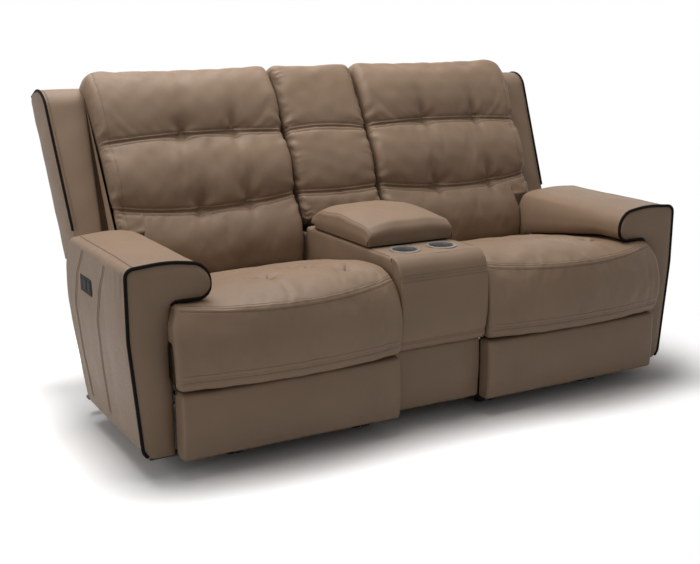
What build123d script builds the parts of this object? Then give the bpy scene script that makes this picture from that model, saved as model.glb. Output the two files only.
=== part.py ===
from build123d import *
import math
import os

# Power reclining loveseat with a storage console, in millimetres.
# X runs across the width, the front faces -Y, Z is up, and the origin is on the floor at the middle.
# Every paired piece is drawn for the right-hand side (+X) and mirrored for the left.

# Overall size
overall_width = 1960.0
overall_depth = 1090.0

# Layout across the width
piping_radius = 4.0
arm_post_width = 120.0
pillow_overhang = 118.0
console_width = 316.0
seat_gap_console = 8.0
seat_gap_arm = 5.0

# Upholstery heights
upholstery_bottom = 60.0
arm_height = 598.0
arm_crown = 10.0
pillow_thickness = 101.0
arm_over_seat = 111.0
seat_slope = 37.0
lip_bottom = 257.0
console_height = 543.0

# Arms
arm_setback = 115.0
arm_rear_gap = 40.0
arm_foot_tuck = 30.0
arm_flare_drop = 198.0
arm_flare_radius = 300.0
arm_crown_radius = 400.0
arm_foot_radius = 28.0
arm_inner_foot_radius = 3.0
arm_rear_tuck = 65.0
arm_rear_drop = 60.0
arm_rear_radius = 200.0
arm_rear_end_radius = 45.0
arm_rear_crest = 40.0
arm_rear_crest_radius = 30.0
pillow_root_radius = 6.0
pillow_top_radius = 58.0
pillow_low_radius = 34.0
pillow_droop = 8.0
arm_top_radius = 22.0
arm_board = 18.0
arm_side_foam = 35.0
arm_front_foam = 25.0
arm_rear_foam = 90.0
pillow_foam = 8.0
shelf_overhang = 20.0
pocket_clearance = 0.5
piping_foot_lift = 40.0
piping_foot_out = 4.0
piping_end_gap = 3.0
piping_groove = 0.05

# Seats
seat_stations = (-1.0, -0.93, -0.5, 0.0, 0.4, 0.66, 0.93, 1.0)
seat_crests = (24.0, 24.0, 30.0, 26.0, 14.0, 2.0, 2.0, 0.0)
seat_crest_setback = 110.0
seat_rear_bulge = 5.0
seat_crest_bulge = 4.0
seat_crest_swell = 0.34
seat_seam_inset = 10.0
seat_seam_droop = 13.0
seat_bow = 82.0
seat_belly_inset = 7.0
seat_belly_bow = 38.0
seat_front_bulge = 8.5
seat_end_bulge = 20.0
seat_corner_draw = 9.0
lip_radius = 26.0
lip_depth = 90.0
lip_bulge = 9.0
seat_back_gap = 130.0
seat_frame_inset = 10.0
seat_frame_setback = 5.0
seat_frame_rear = 20.0
seat_deck = 380.0
tuft_radius = 28.0
tuft_depth = 6.0

# Reclining backs, drawn in a frame that leans with the back: b is forward of the pivot, a is up the back
back_lean = 23.0
back_reach = 345.0
pivot_z = 420.0
back_bottom = -20.0
lower_seam = 192.0
upper_seam = 429.0
back_top = 662.0
seam_plane = 118.0
panel_bulge = 32.0
back_end_draw = 16.0
frame_front = -45.0
frame_back = -96.0
skin_back = -108.0
skin_bottom = -90.0
skin_top = 622.0
back_outer_inset = 21.0
notch_drop = 12.0
notch_clearance = 8.0
heel_forward = 45.0
heel_top = 50.0
heel_slope_top = 110.0
back_top_round = 34.0
back_top_bulge = 20.0
back_head_bulge = 6.0
back_boxing = 36.0
post_bottom = 60.0
post_top_drop = 20.0
wing_rail_lift = 10.0

# Side wings
wing_inner_gap = 10.0
wing_bottom_width = 79.0
wing_flare = 23.0
wing_front = 50.0
wing_arm_drop = 19.0
wing_bottom_slope = 27.0
wing_bottom_radius = 10.0
wing_piping_start = 6.0
wing_piping_end = 30.0
wing_top = 632.0
wing_front_radius = 80.0
wing_rear_radius = 16.0

# Footrests
footrest_bottom = 56.0
footrest_top = 247.0
footrest_side_gap = 2.0
footrest_setback = 50.0
footrest_depth = 60.0
footrest_bulge = 10.0
footrest_draw = 8.0
pan_thickness = 6.0
pan_margin = 8.0
ear_lap = 1.0
ear_corner = 10.0
link_width = 24.0
link_thickness = 4.0
link_spacing = 10.0
hip_setback = 295.0
hip_z = 312.0
knee_behind_hip = 128.0
knee_z = 113.0
toe_behind_pan = 20.0
toe_z = 130.0
link_pin_radius = 5.0
shoulder_radius = 9.0
torque_tube_radius = 9.0
pin_clearance = 0.06

# Base and seat mechanism
foot_height = 22.0
foot_radius = 18.0
front_foot_inset = 69.0
front_bar_inset = 19.0
rear_foot_inset = 50.0
rail_width = 24.0
rail_top = 50.0
rail_setback = 123.0
rail_rear_gap = 20.0
mechanism_shift = 60.0
rail_offset = 210.5
bar_thickness = 8.0
rear_bar_inset = 18.0
bar_width = 26.0
bar_end_inset = 55.0
track_height = 182.0
track_setback = 122.0
track_rear_gap = 100.0
slot_height = 200.0
front_stud_inset = 150.0
rear_stud_inset = 40.0
stud_radius = 6.0
seat_travel = 70.0
recline_pin_radius = 6.0
ear_radius = 22.0
plate_front_reach = 40.0
plate_rear_reach = 35.0
plate_sole = 18.0
plate_neck = 70.0
plate_neck_drop = 15.0
plate_heel = 10.0
plate_nape = 12.0
plate_shoulder = 38.0
plate_round = 10.0
plate_neck_round = 20.0
ear_round = 14.0
bracket_top = 260.0
bracket_shin = 80.0
bracket_calf = 50.0
bracket_inset = 4.0
bracket_round = 10.0
bracket_end_round = 5.0
bracket_ear_round = 12.0
bracket_ear = ((20.0, -14.0), (20.0, 16.0))
bracket_heel = (-16.0, -20.0)
cross_tube_inset = 80.0
cross_tube_z = 230.0
cross_tube_radius = 12.0
rear_panel_thickness = 12.0
rear_panel_top = 255.0

# Drives
rod_radius = 8.0
rod_length = 100.0
rod_clearance = 0.08
rod_eye_gap = 0.05
actuator_radius = 16.0
actuator_gap = 20.0
actuator_rear_gap = 12.0
actuator_post_half = 20.0
actuator_post_depth = 14.0
actuator_post_cap = 5.0
actuator_motor_gap = 8.0
actuator_end = 8.0
rod_eye = 14.0
rod_eye_lap = 6.0
actuator_motor_radius = 22.0
actuator_motor_length = 100.0
gearbox_width = 80.0
gearbox_depth = 70.0
gearbox_drop = 80.0
motor_can_length = 70.0

# Boards of the wooden frames
board_low = 315.0
board_top = 375.0
rail_board = 30.0
side_board = 40.0
motor_board = 25.0
spring_radius = 2.0
spring_clearance = 0.05
spring_count = 5
spring_swing = 32.0
spring_bends = 10
upright = 40.0
back_rail = 45.0

# Console
console_skin = 6.0
console_board = 14.0
console_top_pad = 20.0
console_setback = 121.0
console_pad_thickness = 64.0
console_seam_drop = 57.0
console_back_gap = 82.0
pad_end_draw = 7.0
pad_foot_round = 30.0
pad_shoulder = 12.0
pad_foot_rise = 34.0
pad_foot_tuck = 2.0
pad_top_bulge = 14.0
pad_bulge = 8.0
front_pad_split = 7.0
lower_pad_thickness = 28.0
lower_pad_bulge = 8.0
lower_pad_draw = 6.0
shelf_rear_gap = 40.0
cup_x = 67.0
cup_inset = 64.0
cup_radius = 40.0
cup_ring = 9.0
cup_depth = 74.0
cup_wall = 1.5
bin_half_width = 118.0
bin_behind_cups = 110.0
bin_hinge_gap = 28.0
bin_depth = 240.0
bin_wall = 3.0
bin_flange = 8.0
flange_thickness = 2.0

# Console lid and its hinge
lid_half_width = 156.0
lid_front_overhang = 48.0
lid_rear_overhang = 6.0
lid_front_round = 30.0
lid_board_side = 10.0
lid_board_front = 8.0
lid_rear_bulge = 8.0
lid_front_bulge = 7.0
lid_nose_bulge = 3.0
lid_gap = 0.5
lid_board_thickness = 11.5
lid_pad_height = 66.0
lid_crown = 14.0
lid_rear_drop = 42.0
lid_side_draw = 27.0
hinge_inset = 40.0
leaf_relief = 2.0
knuckle_radius = 6.0
hinge_pin_radius = 3.0
leaf_thickness = 2.0
leaf_length = 48.0
knuckle_length = 40.0
knuckle_gap = 0.5
knuckle_clearance = 0.3

# Middle back
middle_bottom = 100.0
middle_bulge = 22.0
middle_end_draw = 8.0
middle_board = 16.0
middle_back_board = 12.0
middle_foot_depth = 38.0
middle_foot_lift = 15.0
middle_neck = 20.0
middle_neck_drop = 43.0
middle_frame_drop = 10.0

# Switch plates
switch_rear_inset = 180.0
switch_length = 105.0
switch_drop = 93.0
switch_height = 48.0
plate_body = 14.0
plate_proud = 1.5
rocker_width = 27.0
rocker_height = 30.0
rocker_proud = 2.0
rocker_axis_depth = 7.5
rocker_insets = (48.0, 85.0)
rocker_back = 2.5
rocker_tip = 1.5
rocker_dip = 0.5
trunnion_radius = 2.0
trunnion_length = 4.0
rocker_side_gap = 1.6
rocker_end_gap = 0.5
fit_gap = 0.3
cut_margin = 10.0
cut_reach = 20.0

# Places worked out from the sizes above
half_width = overall_width / 2
front_y = -overall_depth / 2
arm_outer = half_width - piping_radius
arm_inner = arm_outer - arm_post_width
pillow_inner = arm_inner - pillow_overhang
pillow_bottom = arm_height - pillow_thickness
pivot_y = overall_depth / 2 - back_reach
arm_front_y = front_y + arm_setback
arm_rear_y = pivot_y - arm_rear_gap
arm_depth = arm_rear_y - arm_front_y
arm_flare_height = arm_height - arm_flare_drop
plate_rear_y = arm_rear_y - switch_rear_inset
plate_front_y = plate_rear_y - switch_length
plate_high = arm_height - switch_drop
plate_low = plate_high - switch_height
rocker_spots = tuple(plate_rear_y - inset for inset in rocker_insets)
seat_seam_height = arm_height - arm_over_seat
seat_rear_height = seat_seam_height - seat_slope
console_half = console_width / 2
seat_inner = console_half + seat_gap_console
seat_outer = arm_inner - seat_gap_arm
seat_seam_y = front_y + seat_seam_inset
seat_belly_y = front_y + seat_belly_inset
lip_back_y = front_y + lip_depth
seat_rear_y = pivot_y - seat_back_gap
seat_frame_front_y = lip_back_y + seat_frame_setback
seat_frame_rear_y = seat_rear_y + seat_frame_rear
footrest_front_y = front_y + footrest_setback
pan_back_y = footrest_front_y + footrest_depth
hip_y = front_y + hip_setback
knee_y = hip_y + knee_behind_hip
toe_y = pan_back_y + toe_behind_pan
rail_front_y = front_y + rail_setback
rail_rear_y = pivot_y - rail_rear_gap
front_foot_y = rail_front_y + front_foot_inset
rear_foot_y = rail_rear_y - rear_foot_inset
front_bar_y = rail_front_y + front_bar_inset
rear_bar_y = rail_rear_y - rear_bar_inset
panel_front_y = rear_bar_y - rear_panel_thickness / 2
track_front_y = rail_front_y + track_setback
track_rear_y = pivot_y - track_rear_gap
front_stud_y = track_front_y + front_stud_inset
rear_stud_y = track_rear_y - rear_stud_inset
cross_tube_y = track_rear_y - cross_tube_inset
actuator_front_y = cross_tube_y + actuator_gap
mechanism_center_x = (seat_inner + seat_outer) / 2 - mechanism_shift
back_notch_top = arm_height - pivot_z - notch_drop
wing_bottom_front = back_notch_top - wing_arm_drop
wing_bottom_rear = wing_bottom_front - wing_bottom_slope
console_front_y = front_y + console_setback
console_rear_y = pivot_y - console_back_gap
console_pad_front_y = console_front_y - console_pad_thickness
console_pad_seam = console_height - console_seam_drop
lower_pad_front_y = console_front_y - lower_pad_thickness
cup_y = console_front_y + cup_inset
bin_front_y = cup_y + bin_behind_cups
hinge_y = console_rear_y - hinge_inset
bin_rear_y = hinge_y - bin_hinge_gap
lid_front_y = bin_front_y - lid_front_overhang
lid_rear_y = hinge_y + lid_rear_overhang
back_outer = arm_inner - back_outer_inset
wing_inner = back_outer + wing_inner_gap
bar_top = rail_top + bar_thickness
track_x = mechanism_center_x - rail_offset
plate_x = track_x + link_spacing
hip_link_x = plate_x + link_spacing
toe_link_x = hip_link_x + link_spacing
pan_ear_x = toe_link_x + link_spacing
lid_board_bottom = console_height + flange_thickness + lid_gap
lid_board_top = lid_board_bottom + lid_board_thickness
hinge_z = lid_board_top - knuckle_radius + knuckle_clearance

lean = math.radians(back_lean)


def box(x_from, x_to, y_from, y_to, z_from, z_to):
    """A block between two corners."""
    block = Box(x_to - x_from, y_to - y_from, z_to - z_from)
    return Pos((x_from + x_to) / 2, (y_from + y_to) / 2, (z_from + z_to) / 2) * block


def rounded(points, radii):
    """A face inside a closed outline whose corners are rounded."""
    return make_face(FilletPolyline(*points, radius=radii, close=True))


def side_cut(points, x_from, x_to, radii=0.0):
    """A slab with a side-view outline of (y, z) points."""
    corners = [(x_from, y, z) for y, z in points]
    rounds = radii if isinstance(radii, (list, tuple)) else [radii] * len(points)
    return extrude(rounded(corners, rounds), amount=x_to - x_from, dir=(1, 0, 0))


def back_yz(b, a):
    """Where a point of the leaning back lies, as (y, z)."""
    y = pivot_y + a * math.sin(lean) - b * math.cos(lean)
    z = pivot_z + a * math.cos(lean) + b * math.sin(lean)
    return (y, z)


def back_slab(b_from, b_to, a_from, a_to, x_from, x_to):
    """A board that leans with the back."""
    corners = [(b_from, a_from), (b_from, a_to), (b_to, a_to), (b_to, a_from)]
    return side_cut([back_yz(b, a) for b, a in corners], x_from, x_to)


def section(x, corners, bulges):
    """A cushion's side-view section at x. Each edge swells outwards by its bulge."""
    edges = []
    for start, end, bulge in zip(corners, corners[1:] + corners[:1], bulges):
        p = Vector(x, *start)
        q = Vector(x, *end)
        along = (q - p).normalized()
        outward = Vector(0, along.Z, -along.Y)
        if bulge > 0:
            edges.append(ThreePointArc(p, (p + q) * 0.5 + outward * bulge, q))
        else:
            edges.append(Line(p, q))
    return make_face(edges)


def pin(x_from, x_to, y, z, radius):
    """A round pin along X."""
    return Pos((x_from + x_to) / 2, y, z) * Rot(0, 90, 0) * Cylinder(radius, x_to - x_from)


def shouldered_pin(x, y, z, radius, direction=1):
    """A pin that stands on a plate's face at x, with a shoulder up to the next plate."""
    shoulder_end = x + direction * (link_spacing - link_thickness - fit_gap)
    pin_end = x + direction * (link_spacing + fit_gap)
    low, high = sorted((x, shoulder_end))
    shoulder = pin(low, high, y, z, radius + shoulder_radius - link_pin_radius)
    low, high = sorted((x, pin_end))
    return shoulder + pin(low, high, y, z, radius)


def link(x, start, end, width):
    """A flat link with round ends."""
    length = math.dist(start, end)
    angle = math.degrees(math.atan2(end[1] - start[1], end[0] - start[0]))
    flat = Plane((x, start[0], start[1]), x_dir=(0, 1, 0), z_dir=(1, 0, 0))
    outline = flat * Rot(0, 0, angle) * Pos(length / 2, 0) * SlotCenterToCenter(length, width)
    return extrude(outline, amount=link_thickness, dir=(1, 0, 0))


def both_ends(piece):
    """A piece of one seat's mechanism together with its mirror image at the mechanism's other end."""
    return [piece, mirror(piece, about=Plane((mechanism_center_x, 0, 0), z_dir=(1, 0, 0)))]


def tuft(x, y, z, direction):
    """A ball that presses a dimple into a surface at a point, coming in against a direction."""
    middle = Vector(x, y, z) + Vector(*direction).normalized() * (tuft_radius - tuft_depth)
    return Pos(*middle) * Sphere(tuft_radius)


def only(shape):
    """The solids of a shape, as a list."""
    return list(shape.solids())


parts = {}


def keep(name, solids):
    """Keep one piece that stands alone."""
    parts[name] = solids if isinstance(solids, list) else [solids]


def keep_pair(name, solids):
    """Keep a right-hand piece and its mirror image."""
    solids = solids if isinstance(solids, list) else [solids]
    keep(f"right_{name}", solids)
    keep(f"left_{name}", [mirror(solid, about=Plane.YZ) for solid in solids])


# Base: rails with slotted track plates, two cross bars, feet and a rear panel
def base_frame():
    half_rail = rail_width / 2
    rail = box(track_x - half_rail, track_x + half_rail, rail_front_y, rail_rear_y, foot_height, rail_top)
    half = link_thickness / 2
    track_top = rail_top + track_height
    track = box(track_x - half, track_x + half, track_front_y, track_rear_y, rail_top, track_top)
    for stud_y in (front_stud_y, rear_stud_y):
        slot_middle = (track_x - half, stud_y - seat_travel / 2, slot_height)
        flat = Plane(slot_middle, x_dir=(0, 1, 0), z_dir=(1, 0, 0))
        slot = flat * SlotCenterToCenter(seat_travel, 2 * (stud_radius + pin_clearance))
        track -= extrude(slot, amount=link_thickness, dir=(1, 0, 0))
    one_seat = both_ends(rail) + both_ends(track)
    other_seat = [mirror(solid, about=Plane.YZ) for solid in one_seat]
    reach = half_width - bar_end_inset
    half_bar = bar_width / 2
    bars = []
    for y in (front_bar_y, rear_bar_y):
        bars.append(box(-reach, reach, y - half_bar, y + half_bar, rail_top, bar_top))
    return one_seat + other_seat + bars


def feet():
    spots = [mechanism_center_x + end * rail_offset for end in (-1, 1)]
    solids = []
    for x in spots + [-x for x in spots]:
        for y in (front_foot_y, rear_foot_y):
            solids.append(Pos(x, y, foot_height / 2) * Cylinder(foot_radius, foot_height))
    return solids


def rear_panel():
    half = rear_panel_thickness / 2
    return box(-arm_inner + seat_gap_arm, arm_inner - seat_gap_arm, rear_bar_y - half, rear_bar_y + half,
               bar_top, rear_panel_top)


keep("base_frame", base_frame())
keep("feet", feet())
keep("rear_panel", rear_panel())


# Arms: boards inside a pillow-top cover, with piping round the front face and a switch plate outside
arm_board_outer = arm_outer - arm_board - arm_side_foam
arm_board_front = arm_front_y + arm_front_foam
arm_board_rear = arm_rear_y - arm_rear_foam
arm_shelf_z = pillow_bottom + pillow_foam


def arm_boards(grow):
    """The boards of an arm. A pocket for them is the same boards grown by a clearance."""
    low = bar_top - grow
    wall = box(arm_board_outer - arm_board - grow, arm_board_outer + grow, arm_board_front - grow,
               arm_board_rear + grow, low, arm_shelf_z + grow)
    shelf = box(pillow_inner + arm_side_foam - grow, arm_board_outer + shelf_overhang + grow,
                arm_board_front - grow, arm_board_rear + grow, arm_shelf_z - grow,
                arm_shelf_z + arm_board + grow)
    return wall, shelf


def arm_profile():
    """Corners and roundings of the arm's front view, from the inner foot outwards."""
    corners = [
        (arm_inner, upholstery_bottom, arm_inner_foot_radius),
        (arm_outer - arm_foot_tuck, upholstery_bottom, arm_foot_radius),
        (arm_outer, arm_flare_height, arm_flare_radius),
        (arm_outer, arm_height, arm_top_radius),
        ((arm_outer + pillow_inner) / 2, arm_height + arm_crown, arm_crown_radius),
        (pillow_inner, arm_height - pillow_droop, pillow_top_radius),
        (pillow_inner, pillow_bottom, pillow_low_radius),
        (arm_inner, pillow_bottom, pillow_root_radius),
    ]
    return corners


def arm_piping(radius):
    """Piping round the arm's front face, from the outer foot over the top to the pillow's underside."""
    corners = arm_profile()[1:]
    start = (corners[0][0] + piping_foot_out, upholstery_bottom + piping_foot_lift)
    end = (arm_inner - piping_end_gap, pillow_bottom)
    run = [start] + [(x, z) for x, z, _ in corners[1:-1]] + [end]
    path = FilletPolyline(*[(x, arm_front_y, z) for x, z in run], radius=[r for _, _, r in corners[1:-1]])
    ring = Plane(path @ 0, z_dir=path % 0) * Circle(radius)
    return sweep(ring, path=path)


def switch_block(grow):
    return box(arm_outer - plate_body + plate_proud - grow, arm_outer + plate_proud, plate_front_y - grow,
               plate_rear_y + grow, plate_low - grow, plate_high + grow)


def arm_cover():
    corners = arm_profile()
    face = rounded([(x, arm_front_y, z) for x, z, _ in corners], [r for _, _, r in corners])
    cover = extrude(face, amount=arm_depth, dir=(0, 1, 0))
    crest = arm_height + 3 * arm_crown
    side = [
        (arm_front_y - cut_margin, upholstery_bottom - cut_margin),
        (arm_rear_y - arm_rear_tuck, upholstery_bottom - cut_margin),
        (arm_rear_y, arm_flare_height - arm_rear_drop),
        (arm_rear_y, arm_height + arm_crown),
        (arm_rear_y - arm_rear_crest, crest),
        (arm_front_y - cut_margin, crest),
    ]
    rounds = [0.0, arm_rear_end_radius, arm_rear_radius, arm_rear_end_radius, arm_rear_crest_radius, 0.0]
    cover &= side_cut(side, pillow_inner - cut_reach, half_width + cut_reach, rounds)
    for pocket in arm_boards(pocket_clearance):
        cover -= pocket
    cover -= switch_block(fit_gap)
    cover -= arm_piping(piping_radius + piping_groove)
    return only(cover)


def switch_plate():
    plate = switch_block(0.0)
    middle_z = (plate_low + plate_high) / 2
    axis_x = arm_outer + plate_proud - rocker_axis_depth
    for y in rocker_spots:
        half_y = rocker_width / 2 + rocker_side_gap
        half_z = rocker_height / 2 + rocker_end_gap
        plate -= box(arm_outer - plate_body, half_width, y - half_y, y + half_y,
                     middle_z - half_z, middle_z + half_z)
        bearing_length = rocker_height + 2 * (trunnion_length + rocker_end_gap)
        bearing = Cylinder(trunnion_radius + pin_clearance, bearing_length)
        plate -= Pos(axis_x, y, middle_z) * bearing
    return only(plate)


def rocker(y):
    axis_x = arm_outer + plate_proud - rocker_axis_depth
    middle_z = (plate_low + plate_high) / 2
    face_x = arm_outer + plate_proud + rocker_proud
    half_y = rocker_width / 2
    back_x = axis_x - rocker_back
    tip_x = face_x - rocker_tip
    outline = [(back_x, y - half_y), (tip_x, y - half_y), (face_x - rocker_dip, y), (tip_x, y + half_y),
               (back_x, y + half_y)]
    bottom = middle_z - rocker_height / 2
    paddle = make_face(Polyline(*[(x, v, bottom) for x, v in outline], close=True))
    trunnions = Pos(axis_x, y, middle_z) * Cylinder(trunnion_radius, rocker_height + 2 * trunnion_length)
    return only(extrude(paddle, amount=rocker_height, dir=(0, 0, 1)) + trunnions)


keep_pair("arm_frame", list(arm_boards(0.0)))
keep_pair("arm_cover", arm_cover())
keep_pair("arm_piping", only(arm_piping(piping_radius)))
keep_pair("switch_plate", switch_plate())
keep_pair("recline_rocker", rocker(rocker_spots[0]))
keep_pair("footrest_rocker", rocker(rocker_spots[1]))


# Seats: boards, springs, a bow-front cushion, and the side plates that ride on the track
def seat_frame():
    inner = seat_inner + seat_frame_inset
    outer = seat_outer - seat_frame_inset
    front = seat_frame_front_y
    rear = seat_frame_rear_y
    half = link_thickness / 2
    near = plate_x - half
    far = 2 * mechanism_center_x - near
    boards = [box(inner, outer, front, front + rail_board, board_low, board_top)]
    for x_from, x_to in ((inner, near), (near + link_thickness, far - link_thickness), (far, outer)):
        boards.append(box(x_from, x_to, rear - rail_board, rear, board_low, board_top))
    side = box(near - side_board, near, front + rail_board, rear - rail_board, board_low, board_top)
    boards += both_ends(side)
    boards.append(box(near + link_thickness, far - link_thickness, hip_y - gearbox_depth / 2,
                      hip_y + gearbox_depth / 2, board_top - motor_board, board_top))
    return boards


def seat_springs():
    front = seat_frame_front_y + rail_board / 2
    rear = seat_frame_rear_y - rail_board / 2
    height = board_top + spring_radius + spring_clearance
    pitch = (rear - front) / (spring_bends + 1)
    span = (seat_outer - seat_inner) / (spring_count + 1)
    solids = []
    for n in range(spring_count):
        x = seat_inner + (n + 1) * span
        run = [(x, front, height)]
        for bend in range(spring_bends):
            side = spring_swing / 2 if bend % 2 else -spring_swing / 2
            run.append((x + side, front + (bend + 0.75) * pitch, height))
            run.append((x + side, front + (bend + 1.25) * pitch, height))
        run.append((x, rear, height))
        path = FilletPolyline(*run, radius=pitch / 5)
        solids += only(sweep(Plane(path @ 0, z_dir=path % 0) * Circle(spring_radius), path=path))
    return solids


def seat_crest(t):
    """How far the seat's crest stands above the seam's ends, at a share of the half width."""
    spans = zip(seat_stations, seat_stations[1:], seat_crests, seat_crests[1:])
    near, far, low, high = [span for span in spans if span[0] <= t][-1]
    return low + (high - low) * (t - near) / (far - near)


def seat_top(t, y):
    """Height of the seat's top behind its crest."""
    crest_y = seat_seam_y + seat_bow * t * t + seat_crest_setback
    share = (seat_rear_y - y) / (seat_rear_y - crest_y)
    rise = seat_seam_height + seat_crest(t) - seat_rear_height
    return seat_rear_height + rise * share + 4 * seat_rear_bulge * share * (1 - share)


def seat_cushion():
    middle = (seat_inner + seat_outer) / 2
    half = (seat_outer - seat_inner) / 2
    faces = []
    for t, crest in zip(seat_stations, seat_crests):
        draw = seat_corner_draw if abs(t) == 1.0 else 0.0
        seam_y = seat_seam_y + seat_bow * t * t + draw
        belly_y = seat_belly_y + seat_belly_bow * t * t + draw
        corners = [
            (belly_y + lip_radius, lip_bottom + draw / 2),
            (lip_back_y, lip_bottom + draw / 2),
            (lip_back_y, seat_deck),
            (seat_rear_y, seat_deck),
            (seat_rear_y, seat_rear_height - draw / 2),
            (seam_y + seat_crest_setback, seat_seam_height + crest - draw / 2),
            (seam_y, seat_seam_height - seat_seam_droop * (1 - t * t) - draw / 2),
            (belly_y, lip_bottom + lip_radius),
        ]
        crest_bulge = seat_crest_bulge + seat_crest_swell * crest
        front_bulge = seat_front_bulge + seat_end_bulge * t * t
        bulges = [0.0] * 4 + [seat_rear_bulge, crest_bulge, front_bulge, lip_bulge]
        faces.append(section(middle + half * t, corners, bulges))
    cushion = loft(faces)
    for t, share in ((-0.42, 0.55), (-0.1, 0.42), (0.12, 0.45), (0.45, 0.36)):
        y = seat_rear_y + (seat_seam_y - seat_rear_y) * share
        cushion -= tuft(middle + half * t, y, seat_top(t, y), (0, 0, 1))
    return only(cushion)


def seat_side_plates():
    half = link_thickness / 2
    outline = [
        (hip_y - plate_front_reach, slot_height - plate_sole),
        (rear_stud_y + plate_rear_reach, slot_height - plate_sole),
        (pivot_y - plate_neck, board_low - plate_neck_drop),
        (pivot_y + ear_radius, pivot_z - plate_heel),
        (pivot_y + ear_radius, pivot_z + ear_radius),
        (pivot_y - ear_radius, pivot_z + ear_radius - plate_nape),
        (seat_rear_y + plate_shoulder, board_top),
        (hip_y - plate_front_reach, board_top),
    ]
    rounds = [plate_round] * 2 + [plate_neck_round] + [ear_round] * 3 + [plate_round] * 2
    plate = side_cut(outline, plate_x - half, plate_x + half, rounds)
    for stud_y in (front_stud_y, rear_stud_y):
        plate += shouldered_pin(plate_x - half, stud_y, slot_height, stud_radius, -1)
    plate += shouldered_pin(plate_x + half, hip_y, hip_z, link_pin_radius)
    plate += shouldered_pin(plate_x + half, pivot_y, pivot_z, recline_pin_radius)
    reach = rail_offset - link_spacing - half
    tube = pin(mechanism_center_x - reach, mechanism_center_x + reach, cross_tube_y, cross_tube_z,
               cross_tube_radius)
    return both_ends(plate) + [tube]


def drive_rod():
    front = cross_tube_y + cross_tube_radius
    middle = Pos(mechanism_center_x, front + rod_length / 2, cross_tube_z)
    rod = middle * Rot(90, 0, 0) * Cylinder(rod_radius, rod_length)
    low = mechanism_center_x - rod_eye
    high = mechanism_center_x + rod_eye
    eye = box(low, high, cross_tube_y, front + rod_eye_lap, cross_tube_z - rod_eye, cross_tube_z + rod_eye)
    eye_bore = cross_tube_radius + rod_eye_gap
    eye -= pin(low - cut_margin, high + cut_margin, cross_tube_y, cross_tube_z, eye_bore)
    return only(rod + eye)


def recline_actuator():
    rear = panel_front_y
    length = rear - actuator_rear_gap - actuator_front_y
    tube = Pos(mechanism_center_x, actuator_front_y + length / 2, cross_tube_z)
    body = tube * Rot(90, 0, 0) * Cylinder(actuator_radius, length)
    post_top = cross_tube_z + actuator_radius + actuator_post_cap
    body += box(mechanism_center_x - actuator_post_half, mechanism_center_x + actuator_post_half,
                rear - actuator_post_depth, rear, bar_top, post_top)
    motor_top = cross_tube_z - actuator_radius / 2
    motor_y = rear - actuator_motor_gap - actuator_motor_radius
    motor_spot = Pos(mechanism_center_x, motor_y, motor_top - actuator_motor_length / 2)
    body += motor_spot * Cylinder(actuator_motor_radius, actuator_motor_length)
    bore = Pos(mechanism_center_x, actuator_front_y + length / 2 - actuator_end, cross_tube_z)
    body -= bore * Rot(90, 0, 0) * Cylinder(rod_radius + rod_clearance, length)
    return only(body)


def footrest_motor():
    half = gearbox_width / 2
    top = board_top - motor_board
    body = box(mechanism_center_x - half, mechanism_center_x + half, hip_y - gearbox_depth / 2,
               hip_y + gearbox_depth / 2, top - gearbox_drop, top)
    can = Pos(mechanism_center_x, hip_y + (gearbox_depth + motor_can_length) / 2, top - gearbox_drop / 2)
    body += can * Rot(90, 0, 0) * Cylinder(gearbox_drop / 3, motor_can_length)
    bore = torque_tube_radius + pin_clearance
    body -= pin(mechanism_center_x - half, mechanism_center_x + half, hip_y, hip_z, bore)
    return only(body)


keep_pair("seat_frame", seat_frame())
keep_pair("seat_springs", seat_springs())
keep_pair("seat_cushion", seat_cushion())
keep_pair("seat_side_plates", seat_side_plates())
keep_pair("drive_rod", drive_rod())
keep_pair("footrest_motor", footrest_motor())
actuator = recline_actuator()
keep("recline_actuators", actuator + [mirror(solid, about=Plane.YZ) for solid in actuator])


# Footrests: rear links on a torque tube, front links, and a padded pan
def footrest_rear_links():
    half = link_thickness / 2
    arm = link(hip_link_x - half, (hip_y, hip_z), (knee_y, knee_z), link_width)
    bore = link_pin_radius + pin_clearance
    arm -= pin(hip_link_x - link_spacing, hip_link_x + link_spacing, hip_y, hip_z, bore)
    arm += shouldered_pin(hip_link_x + half, knee_y, knee_z, link_pin_radius)
    reach = rail_offset - 2 * link_spacing - half
    tube = pin(mechanism_center_x - reach, mechanism_center_x + reach, hip_y, hip_z, torque_tube_radius)
    socket = link_pin_radius + fit_gap
    depth = link_spacing
    tube -= pin(mechanism_center_x - reach, mechanism_center_x - reach + depth, hip_y, hip_z, socket)
    tube -= pin(mechanism_center_x + reach - depth, mechanism_center_x + reach, hip_y, hip_z, socket)
    return both_ends(arm) + only(tube)


def footrest_front_links():
    half = link_thickness / 2
    arm = link(toe_link_x - half, (knee_y, knee_z), (toe_y, toe_z), link_width)
    bore = link_pin_radius + pin_clearance
    arm -= pin(toe_link_x - link_spacing, toe_link_x + link_spacing, knee_y, knee_z, bore)
    arm += shouldered_pin(toe_link_x + half, toe_y, toe_z, link_pin_radius)
    return both_ends(arm)


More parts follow.
